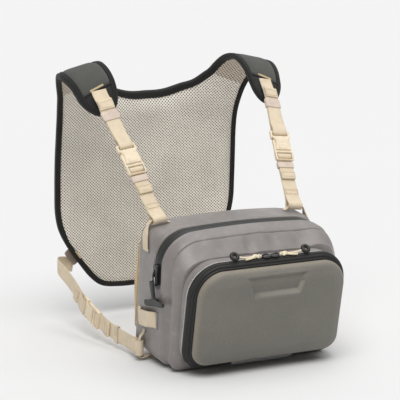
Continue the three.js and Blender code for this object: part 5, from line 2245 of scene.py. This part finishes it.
@dataclass
class BackCushion:
    """Mesh cushion on the bag's rear face, swelled by a cloth simulation, with a welt round its edge."""

    half: float = 113.0
    low: float = 15.0
    high: float = 131.0
    rim: float = 1.6
    rise: float = 1.4
    belly: float = 9.5
    voxel: float = 4.0
    pressure: float = 4.0
    cap: float = 3.0
    last_frame: int = 20
    fill: float = 0.6

    def start(self) -> list[Surface]:
        """Cushion before it swells: a slab, its rear face bowed out in the middle and rounded at its edges.

        Returns:
            The slab's surface.
        """
        u = np.linspace(-self.half, self.half, 45)[None, :]
        w = np.linspace(self.low, self.high, 25)[:, None]
        tall = (w - self.low) / (self.high - self.low)
        sides = 0.94 + 0.06 * smooth_step(0, 7, self.half - np.abs(u))
        edge = sides * smooth_step(-3, 9, w - self.low) * smooth_step(-3, 9, self.high - w)
        deep = self.rim + (self.rise + self.belly * np.sin(math.pi * tall) ** 0.7) * edge
        flat = np.stack(np.broadcast_arrays(u, w), axis=-1)
        faces = [BAG.put(at_depth(flat, depth)) for depth in (GAP, deep)]
        return slab(*faces, flat[..., ::-1])

    def swell(self, piece: bpy.types.Object) -> None:
        """Blow the cushion up as cloth, hold each point to the cap, and keep it off the bag.

        Args:
            piece: The cushion's object, whose mesh is replaced.
        """
        remesh = piece.modifiers.new("skin", "REMESH")
        remesh.mode = "VOXEL"
        remesh.voxel_size = self.voxel * MM
        graph = bpy.context.evaluated_depsgraph_get()
        mesh = bpy.data.meshes.new_from_object(piece.evaluated_get(graph))
        piece.modifiers.clear()
        piece.data = mesh
        before = np.empty(len(mesh.vertices) * 3)
        mesh.vertices.foreach_get("co", before)
        cloth = piece.modifiers.new("cloth", "CLOTH")
        cloth.settings.use_pressure = True
        cloth.settings.uniform_pressure_force = self.pressure
        cloth.settings.effector_weights.gravity = 0.0
        cloth.settings.quality = 4
        scene = bpy.context.scene
        for number in range(1, self.last_frame + 1):
            scene.frame_set(number)
        swelled = piece.evaluated_get(bpy.context.evaluated_depsgraph_get()).data
        after = np.empty_like(before)
        swelled.vertices.foreach_get("co", after)
        piece.modifiers.clear()
        scene.frame_set(1)
        before, after = before.reshape(-1, 3), after.reshape(-1, 3)
        move = after - before
        size = np.linalg.norm(move, axis=1, keepdims=True)
        placed = before + move * np.minimum(1.0, self.cap * MM / np.maximum(size, 1e-9))
        back = BAG.turn(np.array([0.0, 1.0, 0.0]))
        depth = (placed / MM - BAG.put(np.zeros(3))) @ back
        placed = placed + np.maximum(0.0, GAP - depth)[:, None] * back * MM
        mesh.vertices.foreach_set("co", placed.ravel())

    def pattern(self, piece: bpy.types.Object) -> None:
        """Pattern coordinates from the bag's w and u, since the new skin has none.

        Args:
            piece: The cushion's object.
        """
        mesh = piece.data
        points = np.empty(len(mesh.vertices) * 3)
        mesh.vertices.foreach_get("co", points)
        corner = np.empty(len(mesh.loops), dtype=np.int32)
        mesh.loops.foreach_get("vertex_index", corner)
        local = points.reshape(-1, 3) / MM - BAG.put(np.zeros(3))
        places = np.stack([local @ BAG.turn(np.array([0.0, 0.0, 1.0])), local[:, 0]], axis=1)[corner]
        layer = mesh.uv_layers.get(PATTERN) or mesh.uv_layers.new(name=PATTERN)
        layer.uv.foreach_set("vector", places.astype(np.float32).ravel())

    def welt(self) -> Surface:
        """Welt like a cord: a tube along the cushion's rim.

        Returns:
            The tube.
        """
        box = round_box((-self.half, self.low), (self.half, self.high), 6.0, 8)
        line = BAG.put(at_depth(curve_through(box, 4, closed=True), self.rim))
        return tube(line, BAG.turn(np.array([0.0, 1.0, 0.0])), 1.0, closed=True)

    def build(self) -> Pieces:
        """Make the cushion, swell it and give it a subdivision, and lay the welt round it.

        Returns:
            The cushion and the welt.
        """
        piece = make_piece("bag_back_pad", "cushion", self.start(), GOLD_MESH)
        self.swell(piece)
        self.pattern(piece)
        piece.data.shade_smooth()
        finer = piece.modifiers.new("smooth", "SUBSURF")
        finer.levels = finer.render_levels = 1
        return [piece, make_trim("bag_back_pad_welt", [self.welt()], GOLD_WELT)]


@dataclass
class FrontPocket:
    """Front pocket: gusset, zip, moulded shell with its grip recess, and the hinge below.

    gusset and zip are rows of inset, depth v and share of the pocket's lean; inner and outer rows of inset
    and depth v, for the shell's two faces; fold rows of depth v and rise, for the hinge. The recess's slopes
    are those of its top, its low edge and its sides.
    """

    gusset: Rows = (
        (7.5, -108.3, 0), (1.6, -108.7, 0), (-0.2, -110.0, 0.3), (0.6, -114.5, 1), (0.7, -118, 1),
        (0.0, -120.3, 1), (-0.5, -121.4, 1), (0.1, -122, 1), (2, -122, 1), (2.6, -114.5, 1), (9.5, -108.3, 0),
    )
    zip: Rows = (
        (1.2, -122.3, 1), (0.2, -123.2, 1), (0.0, -125.4, 1), (0.3, -127.2, 1), (0.9, -128.3, 1),
        (2.6, -129.4, 1), (2.4, -130.7, 1), (3.1, -131.8, 1), (4.2, -132.4, 1), (5.5, -132.3, 1),
        (6.6, -134, 1), (9.4, -134, 1), (3.6, -122.3, 1),
    )
    zip_middle: float = -128.0
    inner: Rows = ((18.8, -149), (13, -147), (6.5, -143.2), (3.3, -139), (3, -133.6))
    outer: Rows = (
        (2.2, -134.1), (0.9, -134.7), (0.45, -136.4), (0.7, -139), (1.7, -141.6), (3.7, -144.3),
        (6.7, -146.8), (10.6, -148.9), (14.5, -150.7), (18.5, -151.6),
    )
    fold: Rows = ((-119, 0), (-122.5, -0.1), (-125.8, -0.1), (-128.6, 0.5), (-131.4, 3.1), (-134.3, 6.4))
    hinge_half: float = 43.0
    hinge_thick: float = 1.3
    dome: float = 1.2
    dome_half: tuple[float, float] = (84.1, 43.0)
    recess_top: float = 122.5
    recess_low: float = 95.5
    recess_top_half: float = 43.0
    recess_low_half: float = 33.0
    recess_slopes: tuple[float, float, float] = (3.2, 7.0, 6.0)
    recess_depth: float = 6.4
    recess_tilt: float = 3.6
    recess_lip: float = 0.6

    def ring(self, outline: Outline, profile: Rows, per_span: int) -> Surface:
        """Closed profile of inset, depth and lean carried round an outline.

        Args:
            outline: Outline to follow.
            profile: Rows of inset, depth v and share of the pocket's lean.
            per_span: Samples between rows.

        Returns:
            A closed ring.
        """
        rows = curve_through(profile, per_span, closed=True)
        flat = outline.rings(rows[:, 0])
        v = rows[:, 1:2]
        points = at_depth(flat, v + rows[:, 2:] * (pocket_lean(v, flat[..., 1]) - v))
        coords = grid_coords(shut(rows)[:, 1] - self.zip_middle, outline.marks())[..., ::-1]
        return Surface(BAG.put(points), coords, True, True)

    def share(self, w: Array) -> Array:
        """Share of the recess's height."""
        return (w - self.recess_low) / (self.recess_top - self.recess_low)

    def walls(self, u: Array, w: Array) -> Array:
        """Way in from the recess's low edge or sides, as a share of that wall's slope.

        Args:
            u: Way to the right.
            w: Height.

        Returns:
            0 where a wall starts and 1 where it ends.
        """
        _, low_slope, side_slope = self.recess_slopes
        half = self.recess_low_half + (self.recess_top_half - self.recess_low_half) * self.share(w)
        return np.minimum((w - self.recess_low) / low_slope, (half - np.abs(u)) / side_slope)

    def lip_highlight(self, u: Array, w: Array) -> Array:
        """Share of painted highlight on the recess's lip: along the low slope and up the right wall, stronger
        to the right.

        Args:
            u: Way to the right.
            w: Height.

        Returns:
            0 where the cloth is bare, up to about 1.
        """
        wall = self.walls(np.maximum(u, 0), w)
        band = smooth_step(-0.4, 0.4, wall) * smooth_step(1.15, 0.7, wall)
        ends = smooth_step(-4, 12, self.recess_low_half + u) * smooth_step(-1, 9, self.recess_top - w)
        return band * ends * (0.85 + u / 200)

    def sunk(self, u: Array, w: Array) -> Array:
        """Depth of the grip recess: a trapezoid, steep at its top, with a long lower slope and a raised lip.

        Args:
            u: Way to the right.
            w: Height.

        Returns:
            How far the shell's front is sunk.
        """
        inside = np.minimum((self.recess_top - w) / self.recess_slopes[0], self.walls(u, w))
        deep = self.recess_depth - self.recess_tilt * self.share(w)
        return deep * smooth_step(0.0, 1.0, inside) - self.recess_lip * bell(inside, -0.25, 0.3)

    def shell(self) -> Surface:
        """Cup: inner face out to the lip, over the rounded edge, and in to the middle of the domed front.

        Returns:
            The shell, with the way in from its edge or a mark of its lip's painted highlight as a pattern
            coordinate.
        """
        edge = curve_through(self.outer, 5)
        rows = np.vstack([np.asarray(self.inner, float), edge])
        rings = SHELL.rings(rows[:, 0])
        shares = np.linspace(0.97, 0.02, 36)
        front, back = closing(rings[-1], shares), closing(rings[0], shares[::-3])
        backs, fronts = np.full(len(back), self.inner[0][1]), np.full(len(front), self.outer[-1][1])
        depth = np.concatenate([backs, rows[:, 1], fronts])
        flat = np.concatenate([back, rings, front])
        u, w = flat[..., 0], flat[..., 1]
        facing = smooth_step(-143, -147, depth)[:, None]
        wide, tall = self.dome_half
        dome = self.dome * np.maximum(0, 1 - (u / wide) ** 2)
        dome = dome * np.maximum(0, 1 - ((w - (SHELL.low + SHELL.high) / 2) / tall) ** 2)
        v = pocket_lean(depth[:, None], w) + (self.sunk(u, w) - dome) * facing
        rim = np.full(len(depth), PLAIN_MARK)
        first = len(back) + len(self.inner)
        rim[first:first + len(edge)] = lengths(edge)
        # Painted highlight on the recess's lip, on its low slope and right wall, marked in the edge
        # coordinate.
        rim = rim[:, None] + (LIP_MARK - PLAIN_MARK) * self.lip_highlight(u, w) * facing
        rim = np.hstack([rim, rim[:, :1]])
        coords = np.stack([np.broadcast_to(SHELL.marks(), rim.shape), rim], axis=-1)
        return Surface(BAG.put(at_depth(flat, v)), coords, False, True, True)

    def stitches(self) -> list[Surface]:
        """Row of stitches on the gusset beside the zip.

        Returns:
            The thread.
        """
        flat = GUSSET.rings(np.array([-0.15]))[0]
        line = BAG.put(at_depth(flat, pocket_lean(-119.6, flat[:, 1])))
        normal = BAG.turn(at_depth(GUSSET.base()[1], 0.0))
        return [thread(line, normal, 3.4, 0.62, closed=True)]

    def hinge(self) -> list[Surface]:
        """Cloth hinge over the zip, from under the gusset up to the shell's low edge, thinner at its rim.

        Returns:
            The hinge's surface.
        """
        v, rise = curve_through(self.fold, 4).T[:, :, None]
        u = np.linspace(-self.hinge_half, self.hinge_half, 41)[None, :]
        r = np.linspace(-1, 1, len(v))[:, None]
        rim = 1 - 0.6 * (np.abs(u) / self.hinge_half) ** 12
        thick = self.hinge_thick * rim * (1 - 0.5 * np.abs(r) ** 8)
        faces = []
        for depth in (0 * thick, thick):
            w = ZIP_RING.low - GAP + rise - depth
            flat = np.stack([u + 0 * w, w], axis=-1)
            faces.append(BAG.put(at_depth(flat, pocket_lean(v - 0.13 * rise * depth, w))))
        return slab(*faces, np.stack(np.broadcast_arrays(v, u), axis=-1))

    def build(self) -> Pieces:
        """Make the gusset with its stitches, the zip, the shell and the hinge.

        Returns:
            The pieces.
        """
        gusset, zipper = [self.ring(GUSSET, self.gusset, 4)], [self.ring(ZIP_RING, self.zip, 3)]
        return [
            make_piece("pocket_gusset", "cloth", gusset, TAUPE_COATED, 60.0),
            make_trim("pocket_stitches", self.stitches(), PALE_THREAD),
            make_piece("pocket_zip", "band", zipper, POCKET_ZIP_BLACK, 60.0),
            make_piece("pocket_shell", "moulding", [self.shell()], SHELL_GREY, 60.0),
            make_piece("pocket_hinge", "cloth", self.hinge(), HINGE_GREY),
        ]


@dataclass
class PocketPulls:
    """Two sliders on the top of the pocket zip, each with a knotted cord and a rubber ring.

    slider is an outline in u and way behind the deck's middle; route and tail add the height over the deck.
    """

    deck: float = 138.8
    deck_v: float = -125.0
    diameter: float = 2.4
    recline: float = math.radians(50)
    slider: Rows = ((0.6, -3.4), (9, -4.4), (12, -2.2), (12, 2.2), (9, 4.4), (0.6, 3.4))
    slider_thick: float = 2.6
    bridge_rise: float = 1.7
    route: Rows = (
        (12.6, 0, 2.2), (15.5, 0.1, 2.3), (19.5, 0, 2.3), (25, 0.4, 2.0), (31, 0.6, 1.9), (37, 0.5, 2.2),
        (42, 0.4, 3.2), (46.2, 0.4, 4.5),
    )
    tail: Rows = ((20, 0, 2.0), (24, -1.3, 1.9), (28, -2.4, 1.5), (32.5, -3.3, 1.3), (36.5, -3.8, 1.3))
    knot_at: tuple[float, float] = (19.5, 2.5)
    ring_middle: tuple[float, float, float] = (50.0, 0.4, 5.2)
    ring_radius: float = 4.1
    ring_wall: float = 2.3

    def lay(self, rows: Array) -> Array:
        """Points of u, way behind the deck's middle and height over it, on the pack."""
        v = float(pocket_lean(self.deck_v, ZIP_RING.high))
        return BAG.put(np.asarray(rows, float) + (0.0, v, self.deck))

    def knot(self) -> list[Surface]:
        """Overhand knot: a strand along a flattened trefoil, with the cord's short tail.

        Returns:
            The knot and the tail.
        """
        turn = circle(96)
        u, height = self.knot_at
        loop = np.stack([
            u + 1.45 * (np.sin(turn) + 2 * np.sin(2 * turn)),
            0.85 * (np.cos(turn) - 2 * np.cos(2 * turn)),
            height - 1.1 * np.sin(3 * turn),
        ], axis=1)
        up = BAG.turn(np.array([0.1, 0.3, 1.0]))
        tail = self.lay(curve_through(self.tail, 6))
        return [tube(self.lay(loop), up, 1.35, closed=True), tube(tail, up, 1.3)]

    def ring(self) -> Surface:
        """Rubber ring leaning back on the deck: a circle carried round a larger one.

        Returns:
            The ring.
        """
        turn = circle(40)
        back, rise = math.sin(self.recline), math.cos(self.recline)
        flat = np.stack([np.cos(turn), back * np.sin(turn), rise * np.sin(turn)], axis=1)
        loop = self.lay(self.ring_middle + self.ring_radius * flat)
        return tube(loop, BAG.turn(np.array([0.0, -rise, back])), self.ring_wall, 12, closed=True)

    def runner(self) -> list[Surface]:
        """Slider: a domed plate with a bridge over it.

        Returns:
            The plate and the bridge.
        """
        count = 13
        body = plate(curve_through(self.slider, 5, closed=True), 0.0, self.slider_thick, 0.8, 1.3)
        rise = self.slider_thick + self.bridge_rise * np.sin(np.linspace(0.3, 2.9, count))
        crest = np.stack([np.linspace(3, 11.8, count), np.zeros(count), rise], axis=1)
        bridge = tube(crest, np.array([0.0, 1.0, 0.0]), 0.9)
        return [body.moved(self.lay), bridge.moved(self.lay)]

    def build(self) -> Pieces:
        """Returns:
            The pieces.
        """
        line = self.lay(curve_through(self.route, 6))
        cord = tube(line, BAG.turn(np.array([0.0, 0.0, 1.0])), self.diameter / 2, 10)
        pieces = []
        for side in Side:
            runners, rings, knots, cords = (
                side.take(surfaces) for surfaces in (self.runner(), [self.ring()], self.knot(), [cord])
            )
            runner = make_piece(side.named("pocket_slider"), "fitting", runners, BLACK_METAL, 50.0)
            ring = make_piece(side.named("pocket_ring"), "rubber", rings, RING_BLACK)
            knot = make_trim(side.named("pocket_knot"), knots, CREAM_CORD)
            strand = make_piece(side.named("pocket_cord"), "strand", cords, CREAM_CORD)
            path = line * (side.value, 1.0, 1.0) * MM
            pieces += [runner, ring, knot, strand]
        return pieces


@dataclass
class Studio:
    """Pale floor, soft lights, even sky and the camera at the photograph's angle, in metres and degrees."""

    eye: tuple[float, float, float] = (-1.196, -2.341, 0.3322)
    azimuth: float = 28.015
    elevation: float = 10.99
    roll: float = 0.144
    lens: float = 179.8
    sensor: float = 36.0
    sight: float = 100.0
    floor_drop: float = 0.0015
    floor_half: float = 14.0
    sky: float = 0.25
    lamps: Sequence[tuple[str, tuple[float, float, float], float, float]] = (
        ("key_light", (-0.65, -0.8, 1.7), 1.4, 42.0),
        ("top_light", (0.15, -0.15, 1.0), 1.5, 70.0),
        ("rear_light", (0.6, 1.0, 0.9), 0.35, 50.0),
    )

    def camera(self) -> None:
        """Set up the camera, turned by its azimuth, its elevation and its roll."""
        lens = bpy.data.cameras.new("photo_camera")
        lens.lens, lens.sensor_width, lens.clip_end = self.lens, self.sensor, self.sight
        camera = bpy.data.objects.new("photo_camera", lens)
        camera.location = self.eye
        turn = Matrix.Identity(3)
        for axis, angle in (("Z", -self.azimuth), ("X", 90 - self.elevation), ("Z", self.roll)):
            turn = turn @ Matrix.Rotation(math.radians(angle), 3, axis)
        camera.rotation_euler = turn.to_euler()
        bpy.context.collection.objects.link(camera)
        bpy.context.scene.camera = camera

    def lights(self) -> None:
        """Hang the lamps, each turned to the origin, and set an even sky."""
        for name, place, power, spread in self.lamps:
            light = bpy.data.lights.new(name, "SUN")
            light.energy, light.angle = power, math.radians(spread)
            lamp = bpy.data.objects.new(name, light)
            lamp.location = place
            lamp.rotation_euler = (-Vector(place)).to_track_quat("-Z", "Y").to_euler()
            bpy.context.collection.objects.link(lamp)
        world = bpy.data.worlds.new("studio_sky")
        world.use_nodes = True
        colour, strength = world.node_tree.nodes["Background"].inputs[:2]
        colour.default_value, strength.default_value = (1.0, 1.0, 1.0, 1.0), self.sky
        bpy.context.scene.world = world

    def floor(self) -> None:
        """Lay a level square just under the lowest solid."""
        mark = np.linspace(-self.floor_half, self.floor_half, 9)
        x, y = np.meshgrid(mark, mark, indexing="ij")
        points = np.dstack([x, y, np.full(x.shape, SOLID_BOX[0].z - self.floor_drop)])
        faces, _ = Surface(points, grid_coords(mark, mark)).faces()
        mesh = bpy.data.meshes.new("studio_floor")
        mesh.from_pydata(points.reshape(-1, 3).tolist(), [], faces)
        mesh.materials.append(FLOOR_PAPER.material())
        floor = bpy.data.objects.new("studio_floor", mesh)
        bpy.context.collection.objects.link(floor)

    def build(self) -> None:
        """Make the camera first, then the lights and the floor."""
        self.camera()
        bpy.context.scene.view_settings.view_transform = "Standard"
        self.lights()
        self.floor()


def main() -> None:
    """Build the studio and the pack's sub-assemblies in order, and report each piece."""
    logging.basicConfig(level=logging.INFO, format="%(name)s: %(message)s")
    Studio().build()
    makers = (
        PocketPulls(), BackPanel(), ShoulderPads(), EdgeBinding(), shoulder_straps(), side_straps(),
        SideTabs(), BagBody(), MainZip(), BagLoops(), BackCushion(), FrontPocket(),
    )
    for maker in makers:
        for piece in maker.build():
            LOG.info("%s: %d faces", piece.name, len(piece.data.polygons))


if __name__ == "__main__":
    main()
